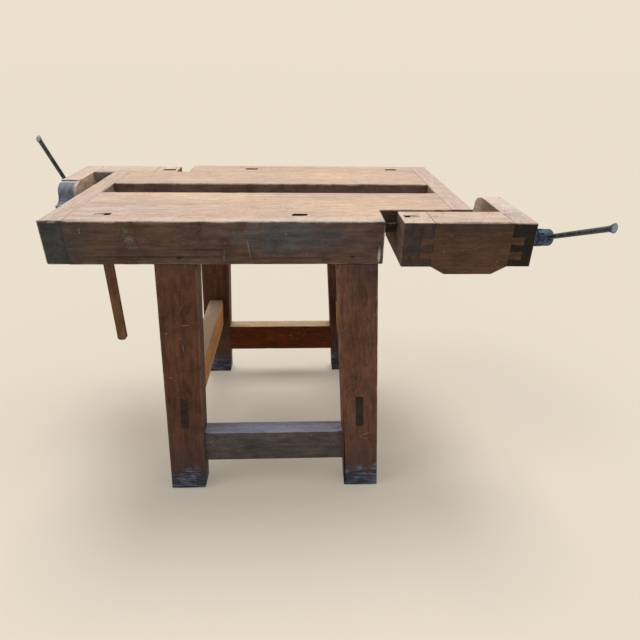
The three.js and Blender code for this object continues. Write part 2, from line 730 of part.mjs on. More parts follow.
function buildTop(group, half, end) {
  place(group, half + "_plank", plank(), "wornTop");
  place(group, end + "_end_cap", endCap(), "wornTop");
  place(group, end + "_guide_rail", guideRail(), "innerWood");
  place(group, end + "_screw_nut", screwNut(), "steel");
}

// Both planks are bolted to both end caps: the first bolt is in the half's own plank.
function buildCapBolts(group, end, ownHalf, otherHalf) {
  const acrossWell = -2 * capBoltY;
  for (const [half, shift] of [
    [ownHalf, 0],
    [otherHalf, acrossWell],
  ]) {
    place(group, `${end}_cap_bolt_${half}`, capBolt().translate(0, shift, 0), "steel");
    place(group, `${end}_cap_nut_${half}`, capNut().translate(0, shift, 0), "steel");
  }
}

buildTop(frontHalf, "front", "right");
buildTop(rearHalf, "rear", "left");
buildCapBolts(frontHalf, "right", "front", "rear");
buildCapBolts(rearHalf, "left", "rear", "front");
buildVise(frontHalf, "right", RIGHT_VISE);
buildVise(rearHalf, "left", LEFT_VISE);
buildUnderframe();
place(bench, "tool_well_board", wellBoard(), "innerWood");
place(bench, "long_bench_dog", dogPeg(endDogX, BENCH_HEIGHT, LONG_DOG_LENGTH, DOG_LEAN), "viseWood");
place(bench, "right_vise_dog", dogPeg(viseDogX, viseTop, VISE_DOG_LENGTH, -DOG_LEAN), "viseWood");

// The part's origin is on the floor, in the middle of the box round everything, bars and all.
bench.updateMatrixWorld(true);
const middle = new THREE.Box3().setFromObject(bench, true).getCenter(new THREE.Vector3());
bench.position.set(-middle.x, -middle.y, 0);
const part = new THREE.Group();
part.add(bench);

export default part;
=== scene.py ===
"""Looks of an old woodworking bench with two tail vises: worn beech, painted iron and dark steel."""

import json
import logging
import math
from dataclasses import dataclass, field, replace
from enum import Enum

import bmesh
import bpy
import numpy as np
from mathutils import Matrix, Vector
from mathutils.bvhtree import BVHTree
from mathutils.geometry import delaunay_2d_cdt


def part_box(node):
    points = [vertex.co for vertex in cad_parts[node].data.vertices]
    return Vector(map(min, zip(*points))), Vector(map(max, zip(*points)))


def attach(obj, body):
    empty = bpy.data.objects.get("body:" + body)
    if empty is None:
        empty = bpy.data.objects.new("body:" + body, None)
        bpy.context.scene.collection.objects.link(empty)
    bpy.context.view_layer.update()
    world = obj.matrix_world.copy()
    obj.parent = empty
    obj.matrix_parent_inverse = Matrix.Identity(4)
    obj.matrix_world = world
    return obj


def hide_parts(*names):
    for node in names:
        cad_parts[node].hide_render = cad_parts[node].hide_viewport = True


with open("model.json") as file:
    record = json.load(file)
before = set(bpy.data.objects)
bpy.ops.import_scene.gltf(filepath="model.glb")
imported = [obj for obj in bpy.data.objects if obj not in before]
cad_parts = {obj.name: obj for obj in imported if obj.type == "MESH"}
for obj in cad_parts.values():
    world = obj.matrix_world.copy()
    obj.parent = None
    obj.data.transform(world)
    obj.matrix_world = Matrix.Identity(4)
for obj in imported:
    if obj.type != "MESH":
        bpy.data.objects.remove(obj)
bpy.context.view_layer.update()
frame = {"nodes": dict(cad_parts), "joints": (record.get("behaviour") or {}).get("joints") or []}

log = logging.getLogger("bench")

Colour = tuple[float, float, float]
Socket = bpy.types.NodeSocket

MM = 0.001
WELD = 1e-5  # corners of a copied solid closer than this are one corner
FLAT_ANGLE = math.radians(0.5)  # faces that meet at less than this are one flat face
SHARP_ANGLE = math.radians(25)  # edges sharper than this are worn round
CREASE_ANGLE = math.radians(13)  # shading breaks at edges sharper than this, except inside the wear
EDGE_STEP = 16 * MM  # longest stretch of an edge with one width of wear
WEAR_FACES = 3  # how many faces make up the round of a board's worn edge
WEAR_SHARE = 0.42  # how much of the shortest edge at a corner its wear may take up
JOINT_REACH = 0.9 * MM  # a place closer than this to another piece is in a joint
HOLE_REACH = 26 * MM  # a face that looks at its own board from closer than this is the wall of a hole, which gets painted shade
TOP_DEPTH = 5 * MM  # how far below a board's highest point its top face may lie
UNDERSIDE = -0.2  # a face whose normal has a Z below this looks down
UNDERSIDE_RUB = 0.3  # how much the wear of such a face is rubbed, where other wear has 1
WANDER = 0.2  # by what share the width of wear wanders
CHIP_LEVEL = 0.55  # an edge is chipped where the ripple is above this
CHIP_WIDTH = 1.35  # how many times wider the wear is there
CHIP_PACE = 3.3  # how many times faster the chips' ripple changes than the wear's
BOX_TOLERANCE = 0.05 * MM  # a corner closer than this to a side of its board's box lies on that side


class Grain(Enum):
    """The way that a board's fibres run, as the order of its axes: along, across and up or through."""

    ALONG_X = (0, 1, 2)
    ALONG_Y = (1, 0, 2)
    ALONG_Z = (2, 0, 1)


class End(Enum):
    """One end of the bench, named as the frame's nodes are."""

    RIGHT = "right"
    LEFT = "left"

    @property
    def outward(self) -> float:
        """Which way along X leads out of the bench here."""
        return 1.0 if self is End.RIGHT else -1.0


def srgb(red: int, green: int, blue: int) -> Colour:
    """A colour given as it is seen on a screen, as the linear values that the shaders use.

    Args:
        red: Its red part, from 0 to 255.
        green: Its green part, from 0 to 255.
        blue: Its blue part, from 0 to 255.

    Returns:
        The three linear values.
    """
    values = np.array([red, green, blue]) / 255
    linear = np.where(values <= 0.04045, values / 12.92, ((values + 0.055) / 1.055) ** 2.4)
    return tuple(float(value) for value in linear)


@dataclass(frozen=True)
class Cloud:
    """A pattern of cloudy noise.

    Its scale is how many clouds there are in a metre along each axis. Its detail is how many finer layers
    are added, and its roughness is how strong they are.
    """

    scale: tuple[float, float, float]
    detail: float = 2.0
    roughness: float = 0.5


def even(count: float) -> tuple[float, float, float]:
    """As many clouds in a metre along every axis."""
    return (count, count, count)


BLOTCHES = Cloud(even(8.0), 5.0, 0.62)
WARMTH = Cloud(even(5.0))
SPECKS = Cloud(even(190.0), 1.0)
DUST = Cloud(even(150.0))
DUST_SHIFT = (3.1, 1.7, 2.3)
GRIME_CLOUDS = Cloud(even(26.0), 5.0, 0.68)
SCRATCHED_PLACES = Cloud(even(13.0), 1.0)
MARK_OUTLINE = Cloud(even(60.0), 4.0, 0.65)
MARK_GAPS = Cloud((130.0, 130.0, 210.0), 3.0, 0.7)
FOOT_OUTLINE = Cloud((34.0, 34.0, 20.0), 5.0, 0.7)
FOOT_SCUFFS = Cloud((24.0, 24.0, 150.0), 5.0, 0.72)
METAL_MOTTLE = Cloud(even(80.0), 4.0, 0.62)
METAL_CHIPS = Cloud(even(150.0), 4.0, 0.62)
PAPER_CLOUDS = Cloud(even(3.0), 3.0)
# These run along the fibres, so their first axis is stretched.
SWAY = Cloud((2.2, 8.0, 8.0))
BROAD_FIBRES = Cloud((1.7, 30.0, 30.0), 3.0, 0.6)
MIDDLING_FIBRES = Cloud((5.0, 140.0, 140.0), 3.0, 0.6)
FINE_FIBRES = Cloud((24.0, 640.0, 640.0), 1.0)
PORES = Cloud((60.0, 1300.0, 1300.0), 1.0)
MOTTLE = Cloud((22.0, 90.0, 90.0), 5.0, 0.7)
END_FIGURE = Cloud((30.0, 60.0, 60.0), 5.0, 0.7)
FLECKS = Cloud((120.0, 800.0, 800.0), 0.0)
# Two sets of fine lines, each with its angles about X, Y and Z.
SCRATCHES = (
    ((0.5, 0.9, 0.35), Cloud((17.0, 430.0, 430.0), 0.0)),
    ((1.9, -0.4, 1.2), Cloud((26.0, 430.0, 430.0), 0.0)),
)


class Graph:
    """Adds shader nodes to one new material and links them.

    A value that isn't a socket is set on the input that it is given for.
    """

    def __init__(self, name: str) -> None:
        """Makes the material with its Principled shader.

        Args:
            name: The material's name.
        """
        self.material = bpy.data.materials.new(name)
        self.material.use_nodes = True
        self.tree = self.material.node_tree
        self.shader = self.tree.nodes["Principled BSDF"]

    def feed(self, socket: Socket, value: object) -> None:
        """Links a socket, or sets the input's own value.

        Args:
            socket: The input.
            value: The socket to link to it, or the number, vector or colour to set on it.
        """
        if isinstance(value, bpy.types.NodeSocket):
            self.tree.links.new(value, socket)
        elif socket.type == "RGBA":
            socket.default_value = (*value, 1.0)
        else:
            socket.default_value = value

    def place(self) -> Socket:
        """The point's place in the frame, in metres."""
        return self.tree.nodes.new("ShaderNodeTexCoord").outputs["Object"]

    def attribute(self, name: str, output: str = "Vector") -> Socket:
        """A vector that the mesh holds, or with Fac a number.

        Args:
            name: The attribute's name on the mesh.
            output: Which of the node's outputs is used.

        Returns:
            The attribute's socket.
        """
        node = self.tree.nodes.new("ShaderNodeAttribute")
        node.attribute_name = name
        return node.outputs[output]

    def number(self, operation: str, first: object, second: object = 0.0, clamp: bool = False) -> Socket:
        """One Math node.

        Args:
            operation: Blender's name for it, such as ADD.
            first: Its first number.
            second: Its second number.
            clamp: Whether the result is kept from 0 to 1.

        Returns:
            The result's socket.
        """
        node = self.tree.nodes.new("ShaderNodeMath")
        node.operation = operation
        node.use_clamp = clamp
        self.feed(node.inputs[0], first)
        self.feed(node.inputs[1], second)
        return node.outputs[0]

    def product(self, *numbers: object) -> Socket:
        """Two or more numbers multiplied.

        Args:
            *numbers: The numbers, each a socket or a value.

        Returns:
            The product's socket.
        """
        result = numbers[0]
        for number in numbers[1:]:
            result = self.number("MULTIPLY", result, number)
        return result

    def total(self, *terms: tuple[object, float]) -> Socket:
        """Numbers added, each times its weight.

        Args:
            *terms: The numbers, each with its weight.

        Returns:
            The sum's socket.
        """
        result = self.number("MULTIPLY", *terms[0])
        for term in terms[1:]:
            result = self.number("ADD", result, self.number("MULTIPLY", *term))
        return result

    def vector(self, operation: str, first: object, second: object = (0.0, 0.0, 0.0)) -> Socket:
        """One Vector Math node.

        Args:
            operation: Blender's name for it, such as ADD.
            first: Its first vector.
            second: Its second vector.

        Returns:
            The result's socket, a number for LENGTH and a vector otherwise.
        """
        node = self.tree.nodes.new("ShaderNodeVectorMath")
        node.operation = operation
        self.feed(node.inputs[0], first)
        self.feed(node.inputs[1], second)
        return node.outputs["Value" if operation == "LENGTH" else "Vector"]

    def split(self, vector: Socket) -> list[Socket]:
        """The three numbers of a vector.

        Args:
            vector: The vector.

        Returns:
            The sockets of its X, Y and Z.
        """
        node = self.tree.nodes.new("ShaderNodeSeparateXYZ")
        self.feed(node.inputs[0], vector)
        return list(node.outputs)

    def spread(self, number: Socket, along: tuple[float, float, float]) -> Socket:
        """A number times a fixed vector.

        Args:
            number: The number.
            along: The vector.

        Returns:
            The product's socket.
        """
        node = self.tree.nodes.new("ShaderNodeCombineXYZ")
        for socket in node.inputs:
            self.feed(socket, number)
        return self.vector("MULTIPLY", node.outputs[0], along)

    def turn(self, vector: Socket, angles: tuple[float, float, float]) -> Socket:
        """A vector turned by fixed angles.

        Args:
            vector: The vector.
            angles: The angles about X, Y and Z.

        Returns:
            The turned vector's socket.
        """
        node = self.tree.nodes.new("ShaderNodeMapping")
        self.feed(node.inputs["Vector"], vector)
        node.inputs["Rotation"].default_value = angles
        return node.outputs[0]

    def noise(self, vector: Socket, cloud: Cloud) -> Socket:
        """Cloudy noise from 0 to 1.

        Args:
            vector: Where it is read.
            cloud: Its pattern.

        Returns:
            The noise's socket.
        """
        node = self.tree.nodes.new("ShaderNodeTexNoise")
        self.feed(node.inputs["Vector"], self.vector("MULTIPLY", vector, cloud.scale))
        node.inputs["Scale"].default_value = 1.0
        node.inputs["Detail"].default_value = cloud.detail
        node.inputs["Roughness"].default_value = cloud.roughness
        return node.outputs["Fac"]

    def ease(self, value: Socket, low: float, high: float) -> Socket:
        """A smooth step from 0 to 1.

        Args:
            value: The number that it follows.
            low: Where it is 0.
            high: Where it is 1, which may be below low.

        Returns:
            The step's socket.
        """
        node = self.tree.nodes.new("ShaderNodeMapRange")
        node.interpolation_type = "SMOOTHSTEP"
        falling = high < low
        self.feed(node.inputs["Value"], value)
        node.inputs["From Min"].default_value = min(low, high)
        node.inputs["From Max"].default_value = max(low, high)
        node.inputs["To Min"].default_value = 1.0 if falling else 0.0
        node.inputs["To Max"].default_value = 0.0 if falling else 1.0
        return node.outputs["Result"]

    def blend(self, factor: object, first: object, second: object, mode: str = "MIX") -> Socket:
        """Two colours mixed.

        Args:
            factor: How much of the second there is, from 0 to 1.
            first: The first colour.
            second: The second colour.
            mode: Blender's name for how they mix.

        Returns:
            The mixed colour's socket.
        """
        node = self.tree.nodes.new("ShaderNodeMix")
        node.data_type = "RGBA"
        node.blend_type = mode
        self.feed(node.inputs["Factor"], factor)
        self.feed(node.inputs[6], first)
        self.feed(node.inputs[7], second)
        return node.outputs[2]

    def bump(self, height: Socket, strength: float, depth: float) -> None:
        """Gives the shader a relief.

        Args:
            height: How high the surface stands, from 0 to about 1.
            strength: How strongly it shows.
            depth: How deep it is, in metres.
        """
        node = self.tree.nodes.new("ShaderNodeBump")
        node.inputs["Strength"].default_value = strength
        node.inputs["Distance"].default_value = depth
        self.feed(node.inputs["Height"], height)
        self.feed(self.shader.inputs["Normal"], node.outputs[0])

    def finish(
        self, colour: Socket, roughness: Socket, metallic: float = 0.0, gloss: float = 0.5
    ) -> bpy.types.Material:
        """Completes the shader.

        Args:
            colour: Its base colour.
            roughness: Its roughness.
            metallic: How metallic it is.
            gloss: How strongly it mirrors light.

        Returns:
            The material.
        """
        self.feed(self.shader.inputs["Base Color"], colour)
        self.feed(self.shader.inputs["Roughness"], roughness)
        self.shader.inputs["Metallic"].default_value = metallic
        self.shader.inputs["Specular IOR Level"].default_value = gloss
        return self.material


@dataclass(frozen=True)
class Tones:
    """The dark and the light fibres of one kind of face."""

    dark: Colour
    light: Colour


@dataclass(frozen=True)
class Mark:
    """A stain, smear, knot or scratch on a board.

    Its place is a share of the board's own box, its reach is in metres, and its turn is about Y. It is
    full as far as its core's share of its reach and fades out from there. A patchy one has gaps.
    """

    share: tuple[float, float, float]
    reach: tuple[float, float, float]
    colour: Colour
    strength: float = 0.7
    ragged: float = 0.6
    turn: float = 0.0
    core: float = 0.5
    patchy: float = 0.0


@dataclass(frozen=True)
class WoodFinish:
    """Old wood: fibres that follow the board, stains, scratches, rubbed edges, dark joints and painted shade
    in holes.
    """

    name: str
    sides: Tones
    ends: Tones
    top: Tones | None = None
    edge: Colour = srgb(176, 160, 144)
    edge_strength: float = 0.4
    grime: Colour = srgb(44, 37, 33)
    grime_strength: float = 0.45
    # the dark of joints, also the painted shade on the walls of holes
    joint: Colour = srgb(30, 24, 21)
    joint_strength: float = 0.65
    scratch: Colour = srgb(190, 172, 154)
    scratch_strength: float = 0.3
    dust: Colour = srgb(196, 184, 174)
    dust_strength: float = 0.4
    unevenness: float = 0.5
    foot: Tones | None = None
    foot_height: float = 64 * MM
    foot_fade: float = 26 * MM
    foot_grey: Colour = srgb(78, 69, 67)
    grey_height: float = 0.34
    # how strongly the walls of holes and their rims get painted shade
    hole_shade_strength: float = 0.95
    relief: float = 0.45
    relief_depth: float = 0.6 * MM
    roughness: float = 0.62
    gloss: float = 0.16
    marks: tuple[Mark, ...] = ()

    def material(self, node: str) -> bpy.types.Material:
        """The finish as a material.

        The board's mesh says which way each face looks, where its worn edges are, where it lies against
        another piece and which faces are the walls of holes that get painted shade.

        Args:
            node: The frame's node whose box places the marks.

        Returns:
            The new material.
        """
        graph = Graph(f"{self.name}_{node}" if self.marks else self.name)
        place, grain = graph.place(), graph.attribute("grain")
        level = graph.attribute("top_face", "Fac")
        calm = graph.total((1.0, 1.0), (level, -0.7))
        fibre = self._fibres(graph, grain)
        blotch = graph.noise(place, BLOTCHES)
        mottle = graph.ease(graph.noise(grain, MOTTLE), 0.32, 0.68)
        streaks = graph.total((fibre, 0.6), (mottle, 0.4))

        colour = graph.blend(streaks, self.sides.dark, self.sides.light)
        if self.top:
            colour = graph.blend(level, colour, graph.blend(streaks, self.top.dark, self.top.light))
        end_tone = graph.noise(grain, END_FIGURE)
        end_wood = graph.blend(graph.ease(end_tone, 0.3, 0.7), self.ends.dark, self.ends.light)
        colour = graph.blend(graph.attribute("end_grain", "Fac"), colour, end_wood)
        for mark in self.marks:
            colour = self._marked(graph, colour, place, streaks, mark, node)
        warm = graph.product(graph.ease(graph.noise(place, WARMTH), 0.42, 0.62), 0.3)
        colour = graph.blend(warm, colour, (1.06, 0.95, 0.8), "MULTIPLY")
        uneven = graph.product(calm, self.unevenness)
        shade = graph.blend(graph.ease(blotch, 0.3, 0.7), (0.55, 0.55, 0.58), (1.3, 1.3, 1.28))
        colour = graph.blend(uneven, colour, shade, "MULTIPLY")
        dapple = graph.blend(mottle, (0.72, 0.72, 0.74), (1.24, 1.22, 1.2))
        colour = graph.blend(uneven, colour, dapple, "MULTIPLY")
        colour, specks = self._worn(graph, colour, place, grain, calm)
        if self.foot:
            colour = self._scuffed_foot(graph, colour, place)
        # painted shade: the walls and rims of holes take the dark joint colour
        sunk = graph.product(graph.attribute("sunk", "Fac"), self.hole_shade_strength)
        colour = graph.blend(sunk, colour, self.joint)

        fine = graph.noise(grain, PORES)
        height = graph.total((fibre, 0.6), (fine, 0.5), (specks, -0.5))
        graph.bump(graph.product(height, calm), self.relief, self.relief_depth)
        dull = graph.total((blotch, 0.3), (1.0, self.roughness - 0.12))
        return graph.finish(colour, dull, gloss=self.gloss)

    @staticmethod
    def _fibres(graph: Graph, grain: Socket) -> Socket:
        """Light and dark fibres: broad, middling and fine streaks that sway together.

        Args:
            graph: The material.
            grain: The point's place in the board.

        Returns:
            How light the fibre is, from 0 to 1.
        """
        sway = graph.number("SUBTRACT", graph.noise(grain, SWAY), 0.5)
        wavy = graph.vector("ADD", grain, graph.spread(sway, (0.0, 0.035, 0.035)))
        broad = graph.noise(wavy, BROAD_FIBRES)
        middling = graph.noise(wavy, MIDDLING_FIBRES)
        fine = graph.noise(wavy, FINE_FIBRES)
        return graph.ease(graph.total((broad, 0.42), (middling, 0.36), (fine, 0.22)), 0.34, 0.66)

    def _worn(
        self, graph: Graph, colour: Socket, place: Socket, grain: Socket, calm: Socket
    ) -> tuple[Socket, Socket]:
        """Grime, specks, flecks, scratches, rubbed edges and dark joints over a colour.

        Args:
            graph: The material.
            colour: The clean wood.
            place: The point's place in the frame.
            grain: The point's place in the board.
            calm: How strong the grime is here.

        Returns:
            The worn colour, and where the specks are.
        """
        cloud = graph.noise(place, GRIME_CLOUDS)
        grime = graph.product(graph.ease(cloud, 0.48, 0.74), self.grime_strength, calm)
        colour = graph.blend(grime, colour, self.grime)
        specks = graph.ease(graph.noise(place, SPECKS), 0.67, 0.74)
        flecks = graph.ease(graph.noise(grain, FLECKS), 0.7, 0.78)
        dots = graph.number("MAXIMUM", specks, graph.product(flecks, 0.5))
        colour = graph.blend(graph.product(dots, 1.3 * self.grime_strength), colour, self.grime)
        shifted = graph.vector("ADD", place, DUST_SHIFT)
        dust = graph.ease(graph.noise(shifted, DUST), 0.7, 0.75)
        colour = graph.blend(graph.product(dust, self.dust_strength), colour, self.dust)
        for angles, pattern in SCRATCHES:
            lines = graph.noise(graph.turn(place, angles), pattern)
            where = graph.ease(graph.noise(place, SCRATCHED_PLACES), 0.6, 0.66)
            line = graph.product(graph.ease(lines, 0.77, 0.81), where, self.scratch_strength)
            colour = graph.blend(line, colour, self.scratch)
        arris, near = graph.attribute("arris", "Fac"), graph.attribute("near", "Fac")
        open_edge = graph.product(arris, graph.number("SUBTRACT", 1.0, near))
        rubbed = graph.product(graph.ease(cloud, 0.62, 0.36), open_edge, self.edge_strength)
        colour = graph.blend(rubbed, colour, self.edge)
        return graph.blend(graph.product(arris, near, self.joint_strength), colour, self.joint), specks

    def _scuffed_foot(self, graph: Graph, colour: Socket, place: Socket) -> Socket:
        """A leg's colour greyed towards the floor, with a ragged scuffed band at the bottom.

        Args:
            graph: The material.
            colour: The leg's colour.
            place: The point's place in the frame.

        Returns:
            The scuffed colour.
        """
        height = graph.split(place)[2]
        grey = graph.product(graph.ease(height, self.grey_height, 0.02), 0.5)
        colour = graph.blend(grey, colour, self.foot_grey)
        ragged = graph.number("SUBTRACT", graph.noise(place, FOOT_OUTLINE), 0.5)
        level = graph.total((height, 1.0), (ragged, 0.2))
        band = graph.ease(level, self.foot_height + self.foot_fade, self.foot_height - self.foot_fade)
        scuffs = graph.noise(place, FOOT_SCUFFS)
        scuffed = graph.blend(graph.ease(scuffs, 0.46, 0.68), self.foot.dark, self.foot.light)
        return graph.blend(graph.product(band, 0.9), colour, scuffed)

    @staticmethod
    def _marked(
        graph: Graph, colour: Socket, place: Socket, streaks: Socket, mark: Mark, node: str
    ) -> Socket:
        """A colour with one mark on it: an ellipsoid whose outline noise bends and whose tone has grain.

        Args:
            graph: The material.
            colour: The colour so far.
            place: The point's place in the frame.
            streaks: Light and dark fibres from 0 to 1.
            mark: The mark.
            node: The frame's node whose box places it.

        Returns:
            The marked colour.
        """
        low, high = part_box(node)
        centre = [a + (b - a) * share for a, b, share in zip(low, high, mark.share)]
        local = graph.turn(graph.vector("SUBTRACT", place, centre), (0.0, mark.turn, 0.0))
        reach = graph.vector("LENGTH", graph.vector("DIVIDE", local, mark.reach))
        bend = graph.number("SUBTRACT", graph.noise(place, MARK_OUTLINE), 0.5)
        bent = graph.total((reach, 1.0), (bend, 2 * mark.ragged))
        inside = graph.product(graph.ease(bent, 1.0, mark.core), mark.strength)
        if mark.patchy:
            patches = graph.ease(graph.noise(place, MARK_GAPS), 0.44, 0.6)
            kept = graph.total((1.0, 1.0 - mark.patchy), (patches, mark.patchy))
            inside = graph.product(inside, kept)
        dark, light = (tuple(level * value for value in mark.colour) for level in (0.72, 1.28))
        return graph.blend(inside, colour, graph.blend(streaks, dark, light))


@dataclass(frozen=True)
class MetalFinish:
    """Handled metal, bare or painted: mottled colour with chips, and rubbed where it is handled."""

    name: str
    dark: Colour
    light: Colour
    chip: Colour
    chip_share: float
    metallic: float
    roughness: float

    def material(self) -> bpy.types.Material:
        """The finish as a material, with chips where fine noise passes a level.

        Returns:
            The new material.
        """
        graph = Graph(self.name)
        place = graph.place()
        mottle = graph.noise(place, METAL_MOTTLE)
        colour = graph.blend(graph.ease(mottle, 0.34, 0.66), self.dark, self.light)
        level = 1.0 - self.chip_share
        chips = graph.ease(graph.noise(place, METAL_CHIPS), level, level + 0.03)
        colour = graph.blend(chips, colour, self.chip)
        graph.bump(graph.total((mottle, 1.0), (chips, -0.8)), 0.35, 0.4 * MM)
        dull = graph.total((mottle, 0.3), (1.0, self.roughness - 0.15))
        return graph.finish(colour, dull, self.metallic)


class Neighbours:
    """Finds the places of a piece that lie against another piece of the frame."""

    def __init__(self) -> None:
        """Gathers every node's triangles in one tree, and notes whose they are."""
        corners, faces, self.owners, count = [], [], [], 0
        for name, part in frame["nodes"].items():
            places = corners_of(part.data)
            corners += places.tolist()
            faces += [[count + index for index in face.vertices] for face in part.data.polygons]
            self.owners += [name] * len(part.data.polygons)
            count += len(places)
        self.tree = BVHTree.FromPolygons(corners, faces)

    def touching(self, node: str, places: np.ndarray) -> np.ndarray:
        """Which of a node's places are in a joint."""
        found = [self.tree.find_nearest_range(place, JOINT_REACH) for place in places.tolist()]
        return np.array([any(self.owners[hit[2]] != node for hit in hits) for hits in found])


def corners_of(mesh: bpy.types.Mesh) -> np.ndarray:
    """The places of a mesh's vertices.

    Args:
        mesh: The mesh.

    Returns:
        One row for each vertex.
    """
    places = np.empty(3 * len(mesh.vertices), np.float32)
    mesh.vertices.foreach_get("co", places)
    return places.reshape(-1, 3).astype(float)


def face_values(mesh: bpy.types.Mesh, name: str, width: int) -> np.ndarray:
    """One property of every face of a mesh.

    Args:
        mesh: The mesh.
        name: Blender's name for the property, such as normal.
        width: How many numbers it has.

    Returns:
        One row for each face.
    """
    values = np.empty(width * len(mesh.polygons), np.float32)
    mesh.polygons.foreach_get(name, values)
    return values.reshape(-1, width)


def painted_hole_shade_faces(mesh: bpy.types.Mesh, worn: np.ndarray) -> np.ndarray:
    """Which faces get painted shade: the walls of a hole and the rim of wear at its edges.

    A ray out of the middle of a wall soon meets the same board. The rim is the wear at a wall's edges.

    Args:
        mesh: The worn board.
        worn: Which of its faces are wear.

    Returns:
        A flag for each face.
    """
    faces = [list(face.vertices) for face in mesh.polygons]
    tree = BVHTree.FromPolygons(corners_of(mesh).tolist(), faces)
    normals = face_values(mesh, "normal", 3)
    starts = face_values(mesh, "center", 3) + 10 * WELD * normals
    hits = [tree.ray_cast(*ray, HOLE_REACH)[0] for ray in zip(starts.tolist(), normals.tolist())]
    walls = np.array([hit is not None for hit in hits])
    sunk = walls & ~worn
    for _ in range(WEAR_FACES):
        reached = np.zeros(len(mesh.vertices), bool)
        for index in np.flatnonzero(sunk):
            reached[faces[index]] = True
        sunk = sunk | (np.array([reached[face].any() for face in faces]) & worn)
    return walls | sunk


def merged_copy(node: str) -> bmesh.types.BMesh:
    """A copy of a node's solid with shared corners and whole flat faces.

    Args:
        node: The node's name.

    Returns:
        The copy.
    """
    solid = bmesh.new()
    solid.from_mesh(frame["nodes"][node].data)
    bmesh.ops.remove_doubles(solid, verts=solid.verts, dist=WELD)
    bmesh.ops.dissolve_limit(solid, angle_limit=FLAT_ANGLE, verts=solid.verts, edges=solid.edges)
    return solid


def flat_parts(solid: bmesh.types.BMesh) -> list[list[bmesh.types.BMFace]]:
    """The flat parts of a worn solid: faces that aren't wear, with those that carry on in their plane.

    Args:
        solid: The worn solid.

    Returns:
        The faces of each part, apart from parts that are one face of three or four corners.
    """
    parts, done = [], set()
    for start in solid.faces:
        part, queue = [], [start]
        while queue:
            face = queue.pop()
            if face in done or face.material_index:
                continue
            done.add(face)
            part.append(face)
            level = [edge for edge in face.edges if edge.calc_face_angle(math.pi) < FLAT_ANGLE]
            queue += [other for edge in level for other in edge.link_faces]
        parts.append(part)
    return [part for part in parts if len(part) > 1 or any(len(face.verts) > 4 for face in part)]


def refill(solid: bmesh.types.BMesh, part: list[bmesh.types.BMFace]) -> None:
    """Fills a flat part anew with triangles between its outlines, since wear may cross the old seams.

    A triangle is kept where it runs along an outline the same way as the old faces, or where it touches no
    outline and a ray from its middle crosses the outlines an odd number of times. The part stays as it is
    where the triangles don't close it.

    Args:
        solid: The worn solid.
        part: Its faces that make up the flat part.
    """
    loops = [loop for face in part for loop in face.loops if loop.link_loop_radial_next.face not in part]
    corners = list(dict.fromkeys(loop.vert for loop in loops))
    number = {corner: index for index, corner in enumerate(corners)}
    pairs = [(number[loop.vert], number[loop.link_loop_next.vert]) for loop in loops]
    along = part[0].normal.orthogonal()
    across = part[0].normal.cross(along)
    flat = [Vector((corner.co.dot(along), corner.co.dot(across))) for corner in corners]
    places, _, triangles, *_ = delaunay_2d_cdt(flat, pairs, [], 1, 0.001 * WELD)
    if len(places) != len(corners):
        return
    points = np.array(flat)
    (x1, y1), (x2, y2) = points[np.array(pairs)].transpose(1, 2, 0)
    x, y = points[np.array(triangles)].mean(1).T[..., None]
    beside = (x2 - x1) * (y - y1) - (x - x1) * (y2 - y1)
    odd = (((y1 > y) != (y2 > y)) & ((beside > 0) == (y2 > y1))).sum(1) % 2 == 1
    forwards, backwards = set(pairs), {pair[::-1] for pair in pairs}
    sides = [set(zip(triangle, triangle[1:] + triangle[:1])) for triangle in triangles]
    kept = [bool(side & forwards) or (inner and not side & backwards) for side, inner in zip(sides, odd)]
    used = {pair for side, wanted in zip(sides, kept) if wanted for pair in side}
    if {pair for pair in used if pair[::-1] not in used} != forwards:
        return
    bmesh.ops.delete(solid, geom=part, context="FACES")
    for triangle, wanted in zip(triangles, kept):
        if wanted:
            solid.faces.new([corners[index] for index in triangle])


def as_mesh(solid: bmesh.types.BMesh, name: str) -> bpy.types.Mesh:
    """A solid as a mesh, after its long sharp edges have been cut into short stretches.

    Args:
        solid: The solid, which is used up.
        name: The mesh's name.

    Returns:
        The new mesh.
    """
    sharp = [edge for edge in solid.edges if edge.calc_face_angle(0) > SHARP_ANGLE]
    cuts = {edge: int(edge.calc_length() / EDGE_STEP) for edge in sharp}
    for count in sorted(set(cuts.values()) - {0}):
        chosen = [edge for edge, wanted in cuts.items() if wanted == count]
        bmesh.ops.bisect_edges(solid, edges=chosen, cuts=count)
    mesh = bpy.data.meshes.new(name)
    solid.to_mesh(mesh)
    solid.free()
    return mesh


def edge_ends(mesh: bpy.types.Mesh) -> np.ndarray:
    """The two vertices of every edge.

    Args:
        mesh: The mesh.

    Returns:
        One row for each edge.
    """
    ends = np.empty(2 * len(mesh.edges), np.int32)
    mesh.edges.foreach_get("vertices", ends)
    return ends.reshape(-1, 2)


def faces_at_edges(mesh: bpy.types.Mesh) -> tuple[np.ndarray, np.ndarray, np.ndarray]:
    """The faces that meet at every edge of a closed mesh.

    A sort of the face corners by edge brings the two faces at an edge side by side.

    Args:
        mesh: The closed mesh.

    Returns:
        Each edge's first and second face, and the cosine of the angle between their normals.
    """
    sizes = np.empty(len(mesh.polygons), np.int32)
    mesh.polygons.foreach_get("loop_total", sizes)
    loop_edge = np.empty(len(mesh.loops), np.int32)
    mesh.loops.foreach_get("edge_index", loop_edge)
    loop_face = np.repeat(np.arange(len(sizes)), sizes)
    first, second = loop_face[np.argsort(loop_edge, kind="stable")].reshape(-1, 2).T
    normals = face_values(mesh, "normal", 3)
    return first, second, np.einsum("ij,ij->i", normals[first], normals[second])


def convex_edges(mesh: bpy.types.Mesh) -> np.ndarray:
    """Which edges of a closed mesh are sharp and stick out.

    At such an edge the middle of one face is behind the other face.

    Args:
        mesh: The closed mesh.

    Returns:
        A flag for each edge.
    """
    first, second, cosine = faces_at_edges(mesh)
    normals, centres = face_values(mesh, "normal", 3), face_values(mesh, "center", 3)
    behind = np.einsum("ij,ij->i", centres[second] - centres[first], normals[first]) < 0
    return (cosine < math.cos(SHARP_ANGLE)) & behind


